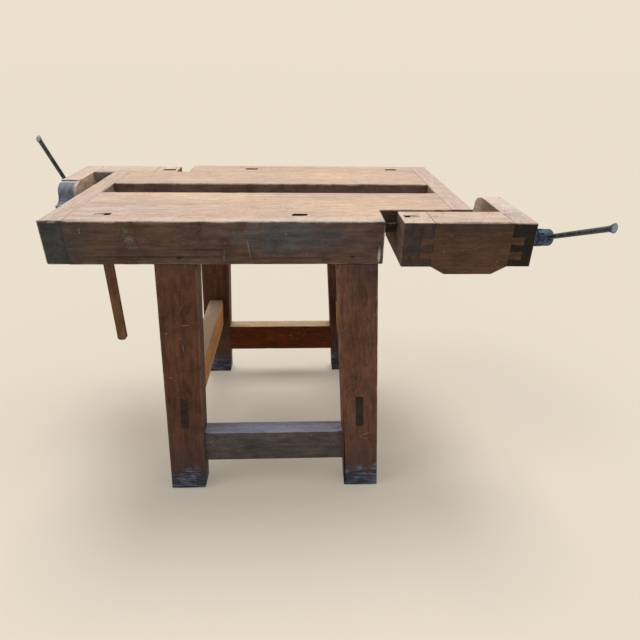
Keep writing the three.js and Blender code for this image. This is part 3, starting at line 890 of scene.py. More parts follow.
def room_at_edges(mesh: bpy.types.Mesh, ends: np.ndarray) -> np.ndarray:
    """The widest wear that fits at each edge: a share of the shortest edge that meets it.

    Args:
        mesh: The mesh.
        ends: The two vertices of every edge.

    Returns:
        A width for each edge, in metres.
    """
    places = corners_of(mesh)
    length = np.linalg.norm(places[ends[:, 0]] - places[ends[:, 1]], axis=1)
    shortest = np.full(len(places), np.inf)
    np.minimum.at(shortest, ends.ravel(), np.repeat(length, 2))
    return WEAR_SHARE * shortest[ends].min(1)


def ripple(places: np.ndarray) -> np.ndarray:
    """Uneven numbers that change slowly from place to place: a sum of three sines.

    Args:
        places: Where they are wanted, one row each.

    Returns:
        A number from -1 to 1 for each place.
    """
    x, y, z = places.T
    first = np.sin(61 * x + 43 * y + 17 * z)
    second = np.sin(-97 * x + 131 * y + 71 * z)
    third = np.sin(211 * x - 83 * y + 157 * z)
    return (first + second + third) / 3


def show(name: str, mesh: bpy.types.Mesh, body: str, slot: str, *nodes: str) -> bpy.types.Object:
    """Puts a finished mesh in the scene.

    Args:
        name: The piece's name.
        mesh: Its mesh, in place.
        body: The body that it moves with.
        slot: The record's material slot; not used.
        *nodes: The nodes that it stands for.

    Returns:
        The new object.
    """
    piece = bpy.data.objects.new(name, mesh)
    bpy.context.scene.collection.objects.link(piece)
    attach(piece, body)
    if nodes:
        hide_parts(*nodes)
    log.info("%s: %d faces on %s", name, len(mesh.polygons), body)
    return piece


def rounded(mesh: bpy.types.Mesh, widths: np.ndarray, segments: int) -> tuple[bpy.types.Mesh, np.ndarray]:
    """A mesh with its edges worn round.

    The shading is smooth over the wear and over gentle curves, and breaks where either meets a flat face.

    Args:
        mesh: The sharp mesh, which is used up.
        widths: How wide the wear is at each edge, in metres.
        segments: How many faces make up the round.

    Returns:
        The worn mesh, and which of its faces are wear.
    """
    widest = float(widths.max())
    weights = mesh.attributes.new("bevel_weight_edge", "FLOAT", "EDGE")
    weights.data.foreach_set("value", (widths / widest).astype(np.float32))
    for _ in range(2):
        mesh.materials.append(None)
    sharp = bpy.data.objects.new("sharp", mesh)
    bpy.context.scene.collection.objects.link(sharp)
    bevel = sharp.modifiers.new("wear", "BEVEL")
    bevel.limit_method = "WEIGHT"
    bevel.width = widest
    bevel.segments = segments
    bevel.use_clamp_overlap = False
    bevel.material = 1
    bpy.context.view_layer.update()
    worn = bpy.data.meshes.new_from_object(sharp.evaluated_get(bpy.context.evaluated_depsgraph_get()))
    worn.name = mesh.name
    bpy.data.objects.remove(sharp)
    solid = bmesh.new()
    solid.from_mesh(worn)
    for part in flat_parts(solid):
        refill(solid, part)
    solid.to_mesh(worn)
    solid.free()
    arris = face_values(worn, "material_index", 1).ravel() > 0
    worn.polygons.foreach_set("material_index", np.zeros(len(worn.polygons), np.int32))
    worn.materials.clear()
    worn.polygons.foreach_set("use_smooth", np.ones(len(worn.polygons), bool))
    first, second, cosine = faces_at_edges(worn)
    crease = (cosine < math.cos(CREASE_ANGLE)) & ~(arris[first] & arris[second])
    worn.attributes.new("sharp_edge", "BOOLEAN", "EDGE").data.foreach_set("value", crease)
    return worn, arris


def keep(mesh: bpy.types.Mesh, name: str, kind: str, domain: str, values: np.ndarray) -> None:
    """Stores numbers or vectors on a mesh for its material to read.

    Args:
        mesh: The mesh.
        name: The attribute's name.
        kind: Blender's name for its type.
        domain: Blender's name for what holds the values, POINT or FACE.
        values: The values, one row each.
    """
    attribute = mesh.attributes.new(name, kind, domain)
    field_name = "vector" if kind == "FLOAT_VECTOR" else "value"
    attribute.data.foreach_set(field_name, np.ascontiguousarray(values, np.float32).ravel())


@dataclass
class Workshop:
    """What every sub-assembly needs: the frame's neighbours, and materials that pieces share."""

    neighbours: Neighbours = field(default_factory=Neighbours)
    materials: dict[str, bpy.types.Material] = field(default_factory=dict)

    def wood(self, finish: WoodFinish, node: str) -> bpy.types.Material:
        """A wood finish's material, of a node's own where the finish has marks.

        Args:
            finish: The finish.
            node: The node that the board stands for.

        Returns:
            The material, made on first use.
        """
        key = node if finish.marks else finish.name
        if key not in self.materials:
            self.materials[key] = finish.material(node)
        return self.materials[key]

    def metal(self, finish: MetalFinish) -> bpy.types.Material:
        """A metal finish's material.

        Args:
            finish: The finish.

        Returns:
            The material, made on first use.
        """
        if finish.name not in self.materials:
            self.materials[finish.name] = finish.material()
        return self.materials[finish.name]


@dataclass
class Board:
    """One wooden piece: the frame's solid with worn edges, and fibres that follow it."""

    node: str
    body: str
    slot: str
    grain: Grain
    finish: WoodFinish
    arris: float = 2.2 * MM
    inner: float = 0.9 * MM
    joint: float = 0.45 * MM
    lean: tuple[float, float] = (0.0, 0.0)
    below: float | None = None

    def build(self, shop: Workshop) -> None:
        """Makes the worn board and dresses it.

        Args:
            shop: What the pieces share.
        """
        mesh = as_mesh(merged_copy(self.node), self.node)
        mesh, worn = rounded(mesh, self._widths(mesh, shop.neighbours), WEAR_FACES)
        self._lay_fibres(mesh)
        downward = face_values(mesh, "normal", 3)[:, 2] < UNDERSIDE
        keep(mesh, "arris", "FLOAT", "FACE", np.where(downward, UNDERSIDE_RUB, 1.0) * worn)
        # which faces get painted shade as the walls of holes
        keep(mesh, "sunk", "FLOAT", "FACE", painted_hole_shade_faces(mesh, worn))
        keep(mesh, "near", "FLOAT", "POINT", shop.neighbours.touching(self.node, corners_of(mesh)))
        mesh.materials.append(shop.wood(self.finish, self.node))
        show(self.node + "_worn", mesh, self.body, self.slot, self.node)

    def _upright(self, places: np.ndarray) -> np.ndarray:
        """Places with the board's lean taken out: sideways run grows with height."""
        return places - places[:, 2:] * np.array([*self.lean, 0.0])

    def _widths(self, mesh: bpy.types.Mesh, neighbours: Neighbours) -> np.ndarray:
        """Width of wear at each edge.

        It is wide where two faces of the board's box meet, finer at holes and finest in joints, and it
        wanders, with a chip here and there. A board may have a wider round along its underside.

        Args:
            mesh: The sharp board.
            neighbours: The other pieces.

        Returns:
            The widths, zero for an edge that isn't worn.
        """
        corners = corners_of(mesh)
        places, ends = self._upright(corners), edge_ends(mesh)
        faces = np.concatenate([places - places.min(0), places.max(0) - places], axis=1) < BOX_TOLERANCE
        shared = faces[ends[:, 0]] & faces[ends[:, 1]]
        outer = shared.sum(1) >= 2
        seated = neighbours.touching(self.node, corners)[ends].all(1)
        middle = places[ends].mean(1)
        chip = np.where(ripple(CHIP_PACE * middle) > CHIP_LEVEL, CHIP_WIDTH, 1.0)
        wear = np.where(outer, self.arris * chip, self.inner) * (1 + WANDER * ripple(middle))
        if self.below:
            wear[outer & shared[:, 2]] = self.below
        width = np.minimum(np.where(seated, self.joint, wear), room_at_edges(mesh, ends))
        return np.where(convex_edges(mesh), width, 0.0)

    def _lay_fibres(self, mesh: bpy.types.Mesh) -> None:
        """Stores which faces are end grain or the top, and each vertex's place along and across the fibres.

        The places change evenly, so large flat faces carry them exactly. They are moved by an amount that
        comes from the node's name, so that no two boards have the same figure. Only a face at the board's
        full height is its top.

        Args:
            mesh: The worn board.
        """
        order = list(self.grain.value)
        corners = corners_of(mesh)
        places = self._upright(corners)[:, order]
        letters = np.frombuffer(self.node.encode(), np.uint8).astype(float)
        turns = np.array([letters @ np.arange(1, len(letters) + 1), letters.sum(), letters[::2].sum()]) % 29
        grain = places - (places.min(0) + places.max(0)) / 2 + turns * np.array([0.37, 0.061, 0.047])
        keep(mesh, "grain", "FLOAT_VECTOR", "POINT", grain)
        normals, centres = face_values(mesh, "normal", 3), face_values(mesh, "center", 3)
        keep(mesh, "end_grain", "FLOAT", "FACE", np.clip(8 * np.abs(normals[:, order[0]]) - 1.2, 0, 1))
        high = centres[:, 2] > corners[:, 2].max() - TOP_DEPTH
        keep(mesh, "top_face", "FLOAT", "FACE", high * np.clip(4 * normals[:, 2] - 2.2, 0, 1))


def scratch(share: tuple[float, float, float], length: float, turn: float = 0.0) -> Mark:
    """A thin pale scratch on an upright face, by its middle, half its length and its angle from level."""
    return Mark(share, (length, 10 * MM, 1.3 * MM), srgb(178, 168, 158), 0.55, 0.35, turn)


def top_zone(along: float, across: float, reach: tuple[float, float], colour: Colour) -> Mark:
    """A wide zone of another tone on a top face, so thin that it stays off the faces below."""
    return Mark((along, across, 1.0), (*reach, 3 * MM), colour, 0.5, 0.7, core=0.0)


UPRIGHT = math.pi / 2
PALE_TOP = Tones(srgb(200, 168, 146), srgb(233, 207, 188))
CAP_TOP = Tones(srgb(199, 172, 155), srgb(231, 208, 194))
VISE_TOP = Tones(srgb(206, 178, 157), srgb(242, 220, 203))
ARM_TOP = Tones(srgb(222, 196, 176), srgb(250, 233, 219))
DARK_END = Tones(srgb(62, 51, 48), srgb(84, 69, 66))
SMEAR = srgb(140, 152, 143)
KNOT = srgb(34, 25, 22)
DARK_STREAK = srgb(44, 33, 30)

TOP_WOOD = WoodFinish(
    "top_wood",
    Tones(srgb(78, 58, 50), srgb(114, 90, 79)),
    Tones(srgb(58, 59, 59), srgb(78, 79, 78)),
    PALE_TOP,
    edge=srgb(222, 208, 196),
    edge_strength=0.5,
    joint_strength=0.4,
    unevenness=0.4,
)
FRONT_PLANK_WOOD = replace(
    TOP_WOOD,
    name="front_plank_wood",
    marks=(
        Mark((0.0, 0.0, 0.5), (0.08, 0.03, 0.12), srgb(80, 74, 73), 0.8, 0.5, core=0.0),
        Mark((0.56, 0.0, 0.66), (0.2, 0.04, 0.06), srgb(83, 89, 98), 0.85, 0.8, core=0.1),
        Mark((0.85, 0.0, 0.5), (0.12, 0.03, 0.08), srgb(87, 73, 76), 0.7, 0.8, core=0.1),
        Mark((0.426, 0.0, 0.35), (0.05, 0.02, 0.014), srgb(112, 80, 56), 0.45, 0.7, core=0.1),
        Mark((0.34, 0.0, 0.4), (0.014, 0.012, 0.006), srgb(100, 62, 46), 0.5, 0.6),
        Mark((0.34, 0.0, 0.35), (0.075, 0.012, 0.003), DARK_STREAK, 0.6, 0.5),
        Mark((0.21, 0.0, 0.187), (0.19, 0.012, 0.003), DARK_STREAK, 0.65, 0.5),
        Mark((0.56, 0.0, 0.158), (0.11, 0.012, 0.004), DARK_STREAK, 0.5, 0.5),
        Mark((0.277, 0.0, 0.162), (0.009, 0.012, 0.0045), KNOT, 0.75, 0.5),
        Mark((0.722, 0.0, 0.18), (0.007, 0.012, 0.0045), KNOT, 0.75, 0.5),
        Mark((0.339, 0.0, 0.92), (0.0075, 0.012, 0.0018), KNOT, 0.8, 0.3, -0.8),
        Mark((0.336, 0.0, 0.78), (0.01, 0.012, 0.0018), KNOT, 0.8, 0.3, 0.6),
        Mark((0.154, 0.0, 0.8), (0.008, 0.012, 0.012), SMEAR, 0.45, 0.9, patchy=0.9),
        Mark((0.157, 0.0, 0.6), (0.015, 0.012, 0.015), SMEAR, 0.6, 0.9, patchy=0.9),
        Mark((0.163, 0.0, 0.42), (0.014, 0.012, 0.009), SMEAR, 0.6, 0.9, patchy=0.9),
        Mark((0.22, 0.0, 0.97), (0.06, 0.012, 0.006), SMEAR, 0.45, 0.9, patchy=0.9),
        Mark((0.79, 0.0, 0.227), (0.004, 0.012, 0.022), srgb(206, 196, 190), 0.7, 0.5),
        scratch((0.392, 0.0, 0.232), 19 * MM, UPRIGHT - 0.1),
        scratch((0.456, 0.0, 0.348), 24 * MM, UPRIGHT + 0.12),
        scratch((0.042, 0.0, 0.78), 9 * MM, UPRIGHT),
        top_zone(0.75, 0.5, (0.28, 0.12), srgb(236, 200, 165)),
        top_zone(0.1, 0.35, (0.24, 0.16), srgb(206, 187, 182)),
        top_zone(0.12, 0.3, (0.16, 0.1), srgb(206, 187, 182)),
        top_zone(0.3, 0.88, (0.3, 0.06), srgb(240, 208, 170)),
        top_zone(0.62, 0.04, (0.4, 0.022), srgb(238, 226, 216)),
    ),
)
REAR_PLANK_WOOD = replace(
    TOP_WOOD,
    name="rear_plank_wood",
    marks=(
        Mark((0.5, 0.0, 0.6), (0.7, 0.008, 0.09), srgb(162, 136, 126), 0.8, 0.3),
        top_zone(0.7, 0.5, (0.26, 0.1), srgb(234, 196, 160)),
    ),
)
LEG_WOOD = WoodFinish(
    "leg_wood",
    Tones(srgb(74, 45, 34), srgb(114, 76, 58)),
    Tones(srgb(56, 44, 40), srgb(78, 62, 54)),
    edge=srgb(158, 132, 114),
    edge_strength=0.35,
    scratch_strength=0.16,
    unevenness=0.45,
    dust_strength=0.22,
    foot=Tones(srgb(55, 59, 75), srgb(148, 156, 182)),
)
# painted shade: the tops of the front legs darker and greyer, where the bench top shades them
LEG_TOP_PAINTED_SHADE = srgb(69, 63, 65)
MARKED_LEGS = {
    "front_left_leg": replace(
        LEG_WOOD,
        name="scratched_leg_wood_with_painted_shade",
        marks=(
            # painted shade at the top of the leg, under the bench top
            Mark((0.6, 0.25, 1.0), (0.12, 0.1, 0.1), LEG_TOP_PAINTED_SHADE, 0.75, 0.6, core=0.1),
            scratch((0.602, 0.18, 0.632), 13 * MM, UPRIGHT),
            scratch((0.686, 0.203, 0.715), 14 * MM),
            scratch((0.343, 0.194, 0.684), 5 * MM),
            scratch((0.3, 0.145, 0.512), 8 * MM, -0.2),
        ),
    ),
    "front_right_leg": replace(
        LEG_WOOD,
        name="scratched_leg_wood_with_painted_shade",
        sides=Tones(srgb(86, 56, 44), srgb(128, 89, 71)),
        marks=(
            # painted shade at the top of the leg, under the bench top
            Mark((0.5, 0.27, 1.0), (0.12, 0.1, 0.16), LEG_TOP_PAINTED_SHADE, 0.75, 0.6, core=0.2),
            scratch((0.721, 0.231, 0.813), 6 * MM, UPRIGHT),
            scratch((0.737, 0.218, 0.767), 13 * MM, UPRIGHT),
            scratch((0.832, 0.132, 0.464), 5 * MM, UPRIGHT),
            scratch((0.671, 0.072, 0.254), 20 * MM, 0.5),
            scratch((0.66, 0.066, 0.235), 14 * MM, -0.3),
            scratch((0.73, 0.025, 0.087), 33 * MM, 0.215),
        ),
    ),
}
FRONT_STRETCHER_WOOD = WoodFinish(
    "front_stretcher_wood",
    Tones(srgb(75, 68, 68), srgb(109, 101, 102)),
    DARK_END,
    Tones(srgb(162, 166, 192), srgb(214, 218, 246)),
)
REAR_STRETCHER_WOOD = WoodFinish(
    "rear_stretcher_wood",
    Tones(srgb(88, 38, 12), srgb(122, 60, 22)),
    DARK_END,
    Tones(srgb(192, 154, 120), srgb(228, 200, 168)),
)
RAIL_WOOD = WoodFinish(
    "rail_wood",
    Tones(srgb(176, 120, 66), srgb(220, 164, 106)),
    Tones(srgb(44, 32, 29), srgb(62, 48, 43)),
    Tones(srgb(238, 204, 170), srgb(254, 234, 210)),
    grime_strength=0.15,
    unevenness=0.3,
)
JAW_WOOD = WoodFinish(
    "jaw_wood",
    Tones(srgb(114, 91, 78), srgb(163, 136, 121)),
    DARK_END,
    VISE_TOP,
    edge_strength=0.25,
    unevenness=0.4,
)
ARM_WOOD = replace(
    JAW_WOOD,
    name="arm_wood",
    sides=Tones(srgb(164, 134, 112), srgb(208, 176, 154)),
    ends=Tones(srgb(32, 26, 24), srgb(46, 38, 35)),
    top=ARM_TOP,
    marks=(
        Mark((0.5, 0.06, 1.0), (0.1, 0.17, 0.003), srgb(194, 174, 164), 0.8, 0.6, core=0.2),
        # painted light: the rear of the arm's inner side made paler, as if lit where it lies in shade
        Mark((0.0, 1.0, 0.6), (0.012, 0.12, 0.12), srgb(252, 228, 206), 0.9, 0.2),
    ),
)
LEFT_ARM_WOOD = replace(
    ARM_WOOD,
    name="left_arm_wood",
    ends=Tones(srgb(112, 120, 142), srgb(154, 162, 182)),
    top=VISE_TOP,
    marks=(
        Mark((0.5, 0.0, 0.54), (0.1, 0.08, 0.0012), srgb(66, 70, 82), 0.6, 0.05),
        Mark((0.5, 0.0, 0.08), (0.1, 0.05, 0.03), srgb(96, 104, 122), 0.95, 0.1),
        # painted light: the arm's inner face made paler, as if lit where it lies in shade
        Mark((1.0, 0.5, 0.6), (0.012, 0.4, 0.12), srgb(240, 212, 190), 0.8, 0.2),
        Mark((0.5, 1.0, 0.5), (0.2, 0.004, 0.2), srgb(40, 33, 30), 0.95, 0.1, core=0.8),
    ),
)
CHOP_WOOD = replace(
    JAW_WOOD,
    name="chop_wood",
    sides=Tones(srgb(76, 54, 42), srgb(112, 84, 67)),
    scratch_strength=0.12,
    dust_strength=0.5,
    marks=(Mark((0.5, 0.0, 0.93), (0.16, 0.02, 0.016), srgb(72, 58, 52), 0.7, 0.5),),
)
LEFT_CHOP_WOOD = replace(
    CHOP_WOOD,
    name="left_chop_wood",
    marks=(Mark((0.5, 0.0, 0.7), (0.2, 0.03, 0.1), srgb(164, 154, 156), 0.9, 0.3),),
)
INNER_WOOD = WoodFinish(
    "inner_wood",
    Tones(srgb(116, 82, 56), srgb(160, 122, 90)),
    Tones(srgb(84, 62, 48), srgb(116, 92, 74)),
)
WELL_WOOD = replace(INNER_WOOD, name="well_wood", grime_strength=0.6)
GUIDE_WOOD = replace(
    INNER_WOOD, name="guide_wood", sides=Tones(srgb(52, 36, 30), srgb(84, 60, 48)), grime_strength=0.6
)
DOG_WOOD = WoodFinish(
    "dog_wood",
    Tones(srgb(88, 60, 42), srgb(122, 88, 65)),
    Tones(srgb(166, 136, 114), srgb(210, 182, 160)),
)
DARK_STEEL = MetalFinish(
    "dark_steel",
    dark=srgb(43, 51, 57),
    light=srgb(90, 96, 99),
    chip=srgb(98, 88, 76),
    chip_share=0.34,
    metallic=0.6,
    roughness=0.5,
)
BLUED_STEEL = MetalFinish(
    "blued_steel",
    dark=srgb(32, 52, 72),
    light=srgb(70, 92, 112),
    chip=srgb(62, 60, 56),
    chip_share=0.42,
    metallic=0.5,
    roughness=0.45,
)
RUBBED_STEEL = MetalFinish(
    "rubbed_steel",
    dark=srgb(103, 121, 136),
    light=srgb(148, 164, 178),
    chip=srgb(74, 72, 66),
    chip_share=0.36,
    metallic=0.4,
    roughness=0.45,
)
BLUE_PAINT = MetalFinish(
    "blue_paint",
    dark=srgb(18, 36, 54),
    light=srgb(56, 90, 122),
    chip=srgb(22, 26, 30),
    chip_share=0.42,
    metallic=0.0,
    roughness=0.5,
)


def well_walls(end: End) -> WoodFinish:
    """An end cap's finish: the top's, with a pale wall where it closes the tool well.

    Args:
        end: Which end cap it is.

    Returns:
        The finish.
    """
    inner_face = 0.0 if end is End.RIGHT else 1.0
    low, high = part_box(f"{end.value}_end_cap")
    well_low, well_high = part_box("front_plank")[1].y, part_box("rear_plank")[0].y
    share = ((well_low + well_high) / 2 - low.y) / (high.y - low.y)
    pale = Mark((inner_face, share, 0.8), (0.006, 0.056, 0.06), srgb(204, 180, 160), 0.85, 0.15)
    joint_strength = TOP_WOOD.joint_strength if end is End.RIGHT else 0.1
    return replace(TOP_WOOD, name="end_cap_wood", top=CAP_TOP, joint_strength=joint_strength, marks=(pale,))


@dataclass
class BenchTop:
    """The planks, end caps, tool well and what holds them together."""

    arris: float = 3.2 * MM
    hole_rim: float = 3.0 * MM
    cap_round: float = 6.6 * MM

    def build(self, shop: Workshop) -> None:
        """Makes every piece of the top.

        Args:
            shop: What the pieces share.
        """
        for plank, wood in (("front_plank", FRONT_PLANK_WOOD), ("rear_plank", REAR_PLANK_WOOD)):
            Board(plank, "bench", "worn_top", Grain.ALONG_X, wood, self.arris, self.hole_rim).build(shop)
        Board("tool_well_board", "bench", "inner_wood", Grain.ALONG_X, WELL_WOOD).build(shop)
        for end in End:
            cap, bearer, rail = (f"{end.value}_{part}" for part in ("end_cap", "bearer", "guide_rail"))
            wood = well_walls(end)
            board = Board(cap, "bench", "worn_top", Grain.ALONG_Y, wood, self.arris, below=self.cap_round)
            board.build(shop)
            Board(bearer, "bench", "inner_wood", Grain.ALONG_Y, INNER_WOOD).build(shop)
            Board(rail, "bench", "inner_wood", Grain.ALONG_X, GUIDE_WOOD).build(shop)


@dataclass
class Underframe:
    """Four splayed legs, two side rails and two stretchers.

    A leg goes sideways by run_x and run_y in each metre of its height.
    """

    arris: float = 3.4 * MM
    run_x: float = 0.0592
    run_y: float = 0.0304

    def build(self, shop: Workshop) -> None:
        """Makes every piece below the top.

        Args:
            shop: What the pieces share.
        """
        for end in End:
            inward = -end.outward * self.run_x
            for half, back in (("front", 1.0), ("rear", -1.0)):
                lean = (inward, back * self.run_y)
                name = f"{half}_{end.value}_leg"
                wood = MARKED_LEGS.get(name, LEG_WOOD)
                leg = Board(name, "bench", "leg_wood", Grain.ALONG_Z, wood, self.arris, joint=0.0, lean=lean)
                leg.build(shop)
            rail, lean = f"{end.value}_side_rail", (inward, 0.0)
            Board(rail, "bench", "inner_wood", Grain.ALONG_Y, RAIL_WOOD, joint=0.0, lean=lean).build(shop)
        for half, wood in (("front", FRONT_STRETCHER_WOOD), ("rear", REAR_STRETCHER_WOOD)):
            Board(f"{half}_stretcher", "bench", "leg_wood", Grain.ALONG_X, wood, joint=0.0).build(shop)


@dataclass
class TailVise:
    """The wooden pieces of one L-shaped vise."""

    end: End
    arris: float = 1.9 * MM
    hole_rim: float = 2.6 * MM

    def build(self, shop: Workshop) -> None:
        """Makes the dovetailed box, the arm and what guides them.

        Args:
            shop: What the pieces share.
        """
        right = self.end is End.RIGHT
        outer = (
            ("jaw_block", Grain.ALONG_Y, JAW_WOOD),
            ("chop", Grain.ALONG_X, CHOP_WOOD if right else LEFT_CHOP_WOOD),
            ("arm", Grain.ALONG_Y, ARM_WOOD if right else LEFT_ARM_WOOD),
        )
        inner = (("foot", Grain.ALONG_Y), ("runner", Grain.ALONG_X), ("garter_key", Grain.ALONG_Z))
        body = f"{self.end.value}_vise"
        for part, grain, finish in outer:
            name = f"{self.end.value}_{part}"
            Board(name, body, "vise_wood", grain, finish, self.arris, self.hole_rim).build(shop)
        for part, grain in inner:
            Board(f"{self.end.value}_{part}", body, "inner_wood", grain, INNER_WOOD).build(shop)


@dataclass
class BenchDogs:
    """The long dog at the left and the short one in the right vise."""

    arris: float = 1.6 * MM

    def build(self, shop: Workshop) -> None:
        """Makes both pegs."""
        for node, body in (("long_bench_dog", "long_dog"), ("right_vise_dog", "vise_dog")):
            Board(node, body, "vise_wood", Grain.ALONG_Z, DOG_WOOD, self.arris).build(shop)


def grid_faces(index: np.ndarray) -> np.ndarray:
    """The four corners of every face of a grid of vertex numbers."""
    corners = [index[:-1, :-1], index[1:, :-1], index[1:, 1:], index[:-1, 1:]]
    return np.stack(corners, axis=-1).reshape(-1, 4)


def welded(name: str, places: np.ndarray, faces: np.ndarray) -> bpy.types.Mesh:
    """A closed mesh whose seams and poles are merged and whose faces point outwards.

    Args:
        name: The mesh's name.
        places: Its corners, some of them in the same place.
        faces: The corners of each face.

    Returns:
        The new mesh.
    """
    mesh = bpy.data.meshes.new(name)
    mesh.from_pydata(places.tolist(), [], faces.tolist())
    solid = bmesh.new()
    solid.from_mesh(mesh)
    bmesh.ops.remove_doubles(solid, verts=solid.verts, dist=0.1 * WELD)
    bmesh.ops.recalc_face_normals(solid, faces=solid.faces)
    solid.to_mesh(mesh)
    solid.free()
    return mesh


def tube(name: str, points: np.ndarray) -> bpy.types.Mesh:
    """A closed surface from rings of points.

    Args:
        name: The mesh's name.
        points: Places by ring, then round the ring. The first and last rings are closed with flat faces.

    Returns:
        The new mesh, shaded smooth.
    """
    rings, sides, _ = points.shape
    index = np.arange(rings * sides).reshape(rings, sides)
    turned = np.roll(index, -1, axis=1)
    quads = np.stack([index[:-1], turned[:-1], turned[1:], index[1:]], axis=-1).reshape(-1, 4)
    caps = [index[0, ::-1].tolist(), index[-1].tolist()]
    mesh = bpy.data.meshes.new(name)
    mesh.from_pydata(points.reshape(-1, 3).tolist(), [], [*quads.tolist(), *caps])
    mesh.polygons.foreach_set("use_smooth", np.ones(len(mesh.polygons), bool))
    return mesh


@dataclass
class Ironwork:
    """One vise's screw with its head, plate and sliding bar.

    The thread's cut is given at shares of a turn. The bar's profiles are in millimetres: the distance from
    its end, then half its width and half its thickness, or for the round stop its radius.
    """

    end: End
    pitch: float = 6 * MM
    shank_radius: float = 11.9 * MM
    thread_depth: float = 2.2 * MM
    thread_turn: tuple[float, ...] = (0.0, 0.32, 0.5, 0.82, 1.0)
    thread_cut: tuple[float, ...] = (0.0, 0.0, 1.0, 1.0, 0.0)
    thread_lead: float = 2 * MM
    thread_fade: float = 6 * MM
    end_chamfer: float = 1.5 * MM
    groove_radius: float = 8.4 * MM
    groove_play: float = 0.6 * MM
    rings_per_turn: int = 14
    sides: int = 48
    head_gap: float = 0.35 * MM
    shank_reach: float = 0.4 * MM
    rim: float = 1.4 * MM
    screw_head: float = 4.2 * MM
    screw_circle: float = 27.4 * MM
    screw_dome: float = 1.5 * MM
    screw_sink: float = 0.3 * MM
    slot: float = 0.6 * MM
    slot_depth: float = 0.9 * MM
    bar_radius: float = 5.95 * MM
    bar_face: tuple[tuple[float, float, float], ...] = ((3.2, 2.0, 1.6), (2.9, 6.0, 4.0), (2.8, 8.4, 5.4))
    bar_tail: tuple[tuple[float, float, float], ...] = (
        (3.2, 9.5, 6.2),
        (6.0, 9.2, 6.3),
        (10.0, 8.0, 6.2),
        (15.0, 6.7, 6.0),
        (22.0, 6.0, 5.95),
    )
    bar_stop: tuple[tuple[float, float], ...] = (
        (7.6, 5.9),
        (7.2, 6.4),
        (6.8, 8.0),
        (6.0, 8.2),
        (1.2, 8.2),
        (0.6, 7.6),
        (0.5, 4.0),
    )
    tail_length: float = 25 * MM
    tail_slant: float = 0.4
    stop_length: float = 12 * MM
    bar_rings: int = 40
    bar_sides: int = 28

    def build(self, shop: Workshop) -> None:
        """Makes every iron piece of the vise.

        Args:
            shop: What the pieces share.
        """
        self._head(shop)
        self._shank(shop)
        self._plate(shop)
        self._bar(shop)

    @property
    def axis(self) -> tuple[float, float]:
        """Y and Z of the screw's middle line."""
        low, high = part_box(f"{self.end.value}_screw_plate")
        return (low.y + high.y) / 2, (low.z + high.z) / 2

    def _outwards(self, node: str) -> tuple[float, float]:
        """A node's inner and outer end, as distances out from the bench's middle."""
        low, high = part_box(node)
        return tuple(sorted((self.end.outward * low.x, self.end.outward * high.x)))

    def _around(self, along: np.ndarray, radius: np.ndarray, angle: np.ndarray) -> np.ndarray:
        """Places about the screw's middle line.

        Args:
            along: Distances out from the bench's middle.
            radius: Distances from the middle line.
            angle: Angles round it.

        Returns:
            The places, in the frame.
        """
        y, z = self.axis
        out = self.end.outward
        across = radius * np.cos(angle)
        return np.stack([out * along + 0 * across, y + out * across, z + radius * np.sin(angle)], axis=-1)

    def _rounded_solid(self, solid: bmesh.types.BMesh, name: str) -> bpy.types.Mesh:
        """A metal solid with small round rims.

        Args:
            solid: The solid, which is used up.
            name: The mesh's name.

        Returns:
            The new mesh.
        """
        mesh = as_mesh(solid, name)
        ends = edge_ends(mesh)
        width = np.minimum(self.rim, room_at_edges(mesh, ends))
        return rounded(mesh, np.where(convex_edges(mesh), width, 0.0), 2)[0]

    def _head(self, shop: Workshop) -> None:
        """The painted head: the frame's solid from the collar outwards, with round rims.

        Args:
            shop: What the pieces share.
        """
        node = f"{self.end.value}_screw"
        collar = self._outwards(f"{self.end.value}_screw_plate")[1] + self.head_gap
        solid = merged_copy(node)
        cut = bmesh.ops.bisect_plane(
            solid,
            geom=[*solid.verts, *solid.edges, *solid.faces],
            plane_co=(self.end.outward * collar, 0.0, 0.0),
            plane_no=(self.end.outward, 0.0, 0.0),
            clear_inner=True,
        )
        rim = [item for item in cut["geom_cut"] if isinstance(item, bmesh.types.BMEdge)]
        bmesh.ops.edgenet_fill(solid, edges=rim)
        mesh = self._rounded_solid(solid, node + "_head")
        mesh.materials.append(shop.metal(BLUE_PAINT))
        show(node + "_head", mesh, f"{self.end.value}_spindle", "painted_iron", node)

    def _shank(self, shop: Workshop) -> None:
        """The threaded shank.

        Its radius is a function of the distance along and the angle round: the thread's depth follows the
        fraction of distance over pitch less angle over a full turn, and fades out before the groove.

        Args:
            shop: What the pieces share.
        """
        inner, _ = self._outwards(f"{self.end.value}_screw")
        groove = self._outwards(f"{self.end.value}_garter_key")
        outer = self._outwards(f"{self.end.value}_screw_plate")[1] + self.shank_reach
        start, stop = groove[0] - self.groove_play, groove[1] + self.groove_play
        turns = (start - inner) / self.pitch
        threaded = np.linspace(inner, start, int(turns * self.rings_per_turn))
        angle = np.linspace(0, 2 * np.pi, self.sides, endpoint=False)
        phase = (threaded[:, None] / self.pitch - angle / (2 * np.pi)) % 1
        cut = np.interp(phase, self.thread_turn, self.thread_cut)
        room = np.minimum(threaded - inner + self.thread_lead, start - threaded)
        fade = np.clip(room / self.thread_fade, 0, 1)
        radius = self.shank_radius - self.thread_depth * cut * fade[:, None]
        radius[0] -= self.end_chamfer
        plain = np.array([start, stop, stop, outer])
        steps = np.repeat([self.groove_radius, self.shank_radius], 2)
        along = np.concatenate([threaded, plain])
        radii = np.concatenate([radius, np.repeat(steps[:, None], self.sides, axis=1)])
        mesh = tube(f"{self.end.value}_screw_thread", self._around(along[:, None], radii, angle))
        mesh.materials.append(shop.metal(DARK_STEEL))
        show(mesh.name, mesh, f"{self.end.value}_spindle", "steel")

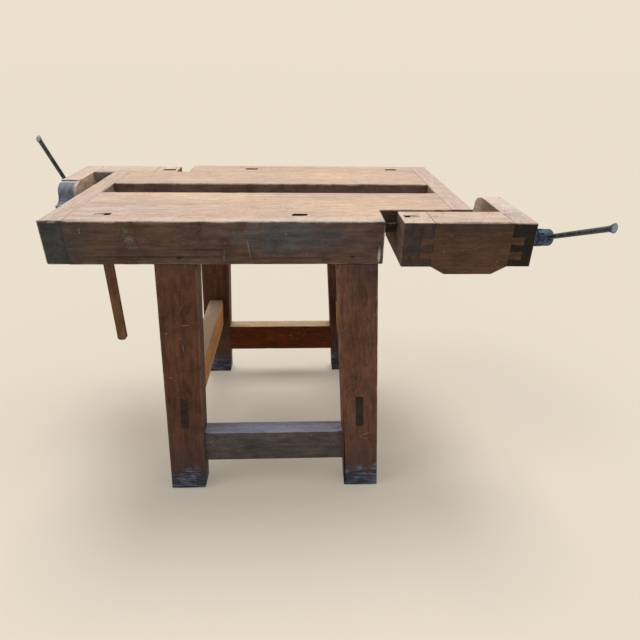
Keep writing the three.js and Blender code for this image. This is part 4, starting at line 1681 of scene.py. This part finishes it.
    def _plate(self, shop: Workshop) -> None:
        """The round plate with its four slotted screws.

        Args:
            shop: What the pieces share.
        """
        node = f"{self.end.value}_screw_plate"
        body = f"{self.end.value}_vise"
        mesh = self._rounded_solid(merged_copy(node), node)
        mesh.materials.append(shop.metal(BLUE_PAINT))
        show(node + "_painted", mesh, body, "painted_iron", node)
        face = self._outwards(node)[1]
        for count in range(4):
            where, turn = math.radians(45 + 90 * count), 0.7 + 1.9 * count
            mesh = self._slotted_screw(f"{node}_screw_{count}", face, where, turn)
            mesh.materials.append(shop.metal(DARK_STEEL))
            show(mesh.name, mesh, body, "steel")

    def _slotted_screw(self, name: str, face: float, where: float, turn: float) -> bpy.types.Mesh:
        """A domed screw head.

        Its columns cross the head from side to side and its rows share each column's length. The dome is
        a low cap of a sphere, the columns of the slot are sunk, and the rim goes down into the plate, where
        a second, flat layer of the same columns and rows closes it.

        Args:
            name: The mesh's name.
            face: The plate's outer face.
            where: The screw's angle on the plate.
            turn: The angle of its slot.

        Returns:
            The new mesh.
        """
        side = np.linspace(self.slot, self.screw_head, 12)
        # The slot's floor starts just inside its edges, so its walls are all but upright.
        slot = np.array([-self.slot, -self.slot * 0.97, self.slot * 0.97, self.slot])
        column = np.concatenate([-side[:0:-1], slot, side[1:]])
        sunk = np.abs(column) < self.slot * 0.99
        row = np.concatenate([[-1.0], np.linspace(-0.97, 0.97, 17), [1.0]])
        across = np.sqrt(np.clip(self.screw_head**2 - column**2, 0, None))[:, None] * row
        far = np.hypot(column[:, None], across) / self.screw_head
        dome = self.screw_dome * (1 - 0.75 * far**2) - np.where(sunk[:, None], self.slot_depth, 0.0)
        bottom = np.full_like(dome, -self.screw_sink)
        height = np.stack([np.where(far > 0.999, bottom, dome), bottom])
        u = column[:, None] * math.cos(turn) - across * math.sin(turn)
        v = column[:, None] * math.sin(turn) + across * math.cos(turn)
        y, z = self.axis
        out = self.end.outward
        places = np.stack(
            [
                out * (face + height),
                np.broadcast_to(y + out * (self.screw_circle * math.cos(where) + u), height.shape),
                np.broadcast_to(z + self.screw_circle * math.sin(where) + v, height.shape),
            ],
            axis=-1,
        )
        top, base = np.arange(height.size).reshape(height.shape)
        faces = np.concatenate([grid_faces(top), grid_faces(base)[:, ::-1]])
        return welded(name, places.reshape(-1, 3), faces)

    def _bar(self, shop: Workshop) -> None:
        """The sliding bar, forged along the axis of its own joint.

        Each ring is an ellipse. Towards the tip its half width, in the plane in which the bar swings,
        grows to a fishtail, while its half thickness, along the screw, stays near the bar's radius. The end
        is cut aslant: a place moves back along the bar by a share of its distance from the upper side.

        Args:
            shop: What the pieces share.
        """
        node = f"{self.end.value}_bar"
        joint = next(joint for joint in frame["joints"] if joint["name"] == node + "_slide")
        axis = np.array(joint["axis"], float)
        places = corners_of(frame["nodes"][node].data)
        along = places @ axis
        middle = (places - np.outer(along, axis)).mean(0)
        tip, stop = along.max(), along.min()
        swollen = MM * np.array(self.bar_face + self.bar_tail)
        back = MM * np.array(self.bar_stop)
        shank = np.linspace(tip - self.tail_length, stop + self.stop_length, self.bar_rings)
        wave = self.bar_radius * (1 + 0.006 * np.sin(90 * shank) * np.sin(37 * shank + 1))
        distance = np.concatenate([tip - swollen[:, 0], shank, stop + back[:, 0]])
        wide = np.concatenate([swollen[:, 1], wave, back[:, 1]])
        thick = np.concatenate([swollen[:, 2], wave, back[:, 1]])
        slant = np.zeros(len(distance))
        slant[: len(swollen)] = np.linspace(self.tail_slant, 0.0, len(swollen))
        side = np.cross((1.0, 0.0, 0.0), axis)
        upper = -np.sign(side[2]) if abs(side[2]) > 0.1 else 1.0
        angle = np.linspace(0, 2 * np.pi, self.bar_sides, endpoint=False)
        across = wide[:, None] * np.sin(angle)
        through = thick[:, None] * np.cos(angle)
        cut = slant[:, None] * (wide[:, None] + upper * across)
        points = middle + (distance[:, None] - cut)[..., None] * axis
        points = points + across[..., None] * side + through[..., None] * (1.0, 0.0, 0.0)
        mesh = tube(node + "_forged", points)
        for finish in (DARK_STEEL, BLUED_STEEL, RUBBED_STEEL):
            mesh.materials.append(shop.metal(finish))
        ring = np.arange(len(mesh.polygons)) // len(angle)
        kind = np.where(ring < len(swollen), 1, 0)
        kind[ring < len(self.bar_face) - 1] = 2
        kind[-2:] = (2, 0)
        mesh.polygons.foreach_set("material_index", kind.astype(np.int32))
        show(mesh.name, mesh, f"{self.end.value}_tommy_bar", "steel", node)


@dataclass
class CapBolts:
    """The bolts and nuts that hold the end caps, and the nuts of the screws."""

    def build(self, shop: Workshop) -> None:
        """Dresses the frame's own solids.

        Args:
            shop: What the pieces share.
        """
        for name, part in frame["nodes"].items():
            if "_cap_bolt_" in name or "_cap_nut_" in name or name.endswith("_screw_nut"):
                part.data.materials.clear()
                part.data.materials.append(shop.metal(DARK_STEEL))
                log.info("%s: dressed", name)


@dataclass
class Studio:
    """A pale floor, soft light from above, and the camera of the photograph.

    The camera's place is from the middle of the bench, on the floor. Its angles turn it from a level look
    along +Y, and its focal length is in pixels of a square picture.
    """

    picture: int = 640
    focal: float = 491.169
    sensor: float = 36.0
    yaw: float = 0.046
    pitch: float = 0.4921
    roll: float = -0.0151
    eye: tuple[float, float, float] = (0.074412, -1.355789, 1.09771)
    cream: Colour = srgb(235, 224, 206)
    floor_half: float = 60.0
    floor_glow: float = 0.25
    sun_angle: float = math.radians(28)
    suns: tuple[tuple[tuple[float, float, float], float], ...] = (
        ((0.0, 0.3, 0.95), 0.5),
        ((-0.6, -0.15, 0.78), 0.11),
        ((0.5, -0.2, 0.85), 0.02),
        ((0.85, 0.15, 0.42), 0.045),
    )
    sky: float = 0.325

    def build(self) -> None:
        """Makes the floor, the lights and the camera."""
        self._floor()
        self._light()
        self._camera()

    def _floor(self) -> None:
        """A wide flat floor with a very slight mottle, part of whose colour shows without light."""
        side = self.floor_half * np.array([[-1, -1], [1, -1], [1, 1], [-1, 1]])
        mesh = bpy.data.meshes.new("floor")
        mesh.from_pydata(np.column_stack([side, np.zeros(4)]).tolist(), [], [(0, 1, 2, 3)])
        graph = Graph("floor_paper")
        cloud = graph.noise(graph.place(), PAPER_CLOUDS)
        pale = tuple(0.985 * value for value in self.cream)
        colour = graph.blend(cloud, pale, self.cream)
        mesh.materials.append(graph.finish(colour, graph.number("ADD", cloud, 0.5, True), gloss=0.0))
        glow = graph.tree.nodes.new("ShaderNodeEmission")
        glow.inputs["Color"].default_value = (*self.cream, 1.0)
        seen = graph.number("MULTIPLY", self._seen(graph.tree), self.floor_glow)
        output = graph.tree.nodes["Material Output"]
        self._mix(graph.tree, seen, graph.shader.outputs[0], glow.outputs[0], output)
        floor = bpy.data.objects.new("floor", mesh)
        bpy.context.scene.collection.objects.link(floor)

    def _light(self) -> None:
        """A soft overhead sun, weaker ones from the sides, and a plain sky.

        Together they light a level surface so that its colour shows as it is. The sky shows the floor's
        colour to the camera.
        """
        for towards, share in self.suns:
            self._sun(towards, share)
        world = bpy.data.worlds.new("plain_sky")
        world.use_nodes = True
        bpy.context.scene.world = world
        tree = world.node_tree
        shown = tree.nodes.new("ShaderNodeBackground")
        shown.inputs["Color"].default_value = (*self.cream, 1.0)
        lit = tree.nodes["Background"]
        lit.inputs["Color"].default_value = (1.0, 1.0, 1.0, 1.0)
        lit.inputs["Strength"].default_value = self.sky
        self._mix(tree, self._seen(tree), lit.outputs[0], shown.outputs[0], tree.nodes["World Output"])

    def _sun(self, towards: tuple[float, float, float], share: float) -> None:
        """A soft sun.

        Args:
            towards: The way from the bench to the sun.
            share: The share of full light that it gives a level surface.
        """
        away = -Vector(towards).normalized()
        sun = bpy.data.lights.new("soft_sun", "SUN")
        sun.energy = share * math.pi / -away.z
        sun.angle = self.sun_angle
        lamp = bpy.data.objects.new("soft_sun", sun)
        lamp.rotation_euler = away.to_track_quat("-Z", "Y").to_euler()
        bpy.context.scene.collection.objects.link(lamp)

    @staticmethod
    def _seen(tree: bpy.types.NodeTree) -> Socket:
        """One for what the camera sees, straight or in a mirror, and zero for what only gives light.

        Args:
            tree: The nodes of a material or of the world.

        Returns:
            The number's socket.
        """
        path = tree.nodes.new("ShaderNodeLightPath")
        seen = path.outputs["Is Camera Ray"]
        for ray in ("Is Glossy Ray", "Is Transmission Ray"):
            either = tree.nodes.new("ShaderNodeMath")
            either.operation = "MAXIMUM"
            tree.links.new(seen, either.inputs[0])
            tree.links.new(path.outputs[ray], either.inputs[1])
            seen = either.outputs[0]
        return seen

    @staticmethod
    def _mix(
        tree: bpy.types.NodeTree, factor: Socket, first: Socket, second: Socket, output: bpy.types.Node
    ) -> None:
        """Mixes two shaders into a tree's output.

        Args:
            tree: The nodes of a material or of the world.
            factor: How much of the second shader there is, from 0 to 1.
            first: The first shader.
            second: The second shader.
            output: The output node.
        """
        mixed = tree.nodes.new("ShaderNodeMixShader")
        for index, socket in enumerate((factor, first, second)):
            tree.links.new(socket, mixed.inputs[index])
        tree.links.new(mixed.outputs[0], output.inputs["Surface"])

    def _camera(self) -> None:
        """The photograph's camera, placed from the middle of the bench top."""
        front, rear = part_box("front_plank"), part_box("rear_plank")
        middle = Vector(((front[0].x + front[1].x) / 2, (front[0].y + rear[1].y) / 2, 0.0))
        level = Vector((math.sin(self.yaw), math.cos(self.yaw), 0.0))
        right = Vector((math.cos(self.yaw), -math.sin(self.yaw), 0.0))
        up = Vector((0.0, 0.0, 1.0))
        look = math.cos(self.pitch) * level - math.sin(self.pitch) * up
        down = -math.sin(self.pitch) * level - math.cos(self.pitch) * up
        across = math.cos(self.roll) * right + math.sin(self.roll) * down
        below = -math.sin(self.roll) * right + math.cos(self.roll) * down
        data = bpy.data.cameras.new("photo_camera")
        data.sensor_width = self.sensor
        data.lens = self.focal / self.picture * self.sensor
        camera = bpy.data.objects.new("photo_camera", data)
        axes = Matrix((across, -below, -look)).transposed()
        camera.matrix_world = Matrix.Translation(middle + Vector(self.eye)) @ axes.to_4x4()
        bpy.context.scene.collection.objects.link(camera)
        bpy.context.scene.camera = camera


def main() -> None:
    """Builds and dresses every sub-assembly, then the studio."""
    logging.basicConfig(level=logging.INFO, format="%(name)s: %(message)s")
    bpy.context.scene.view_settings.view_transform = "Standard"
    shop = Workshop()
    assemblies = [BenchTop(), Underframe(), BenchDogs(), CapBolts()]
    assemblies += [kind(end) for end in End for kind in (TailVise, Ironwork)]
    for assembly in assemblies:
        assembly.build(shop)
    Studio().build()


if __name__ == "__main__":
    main()
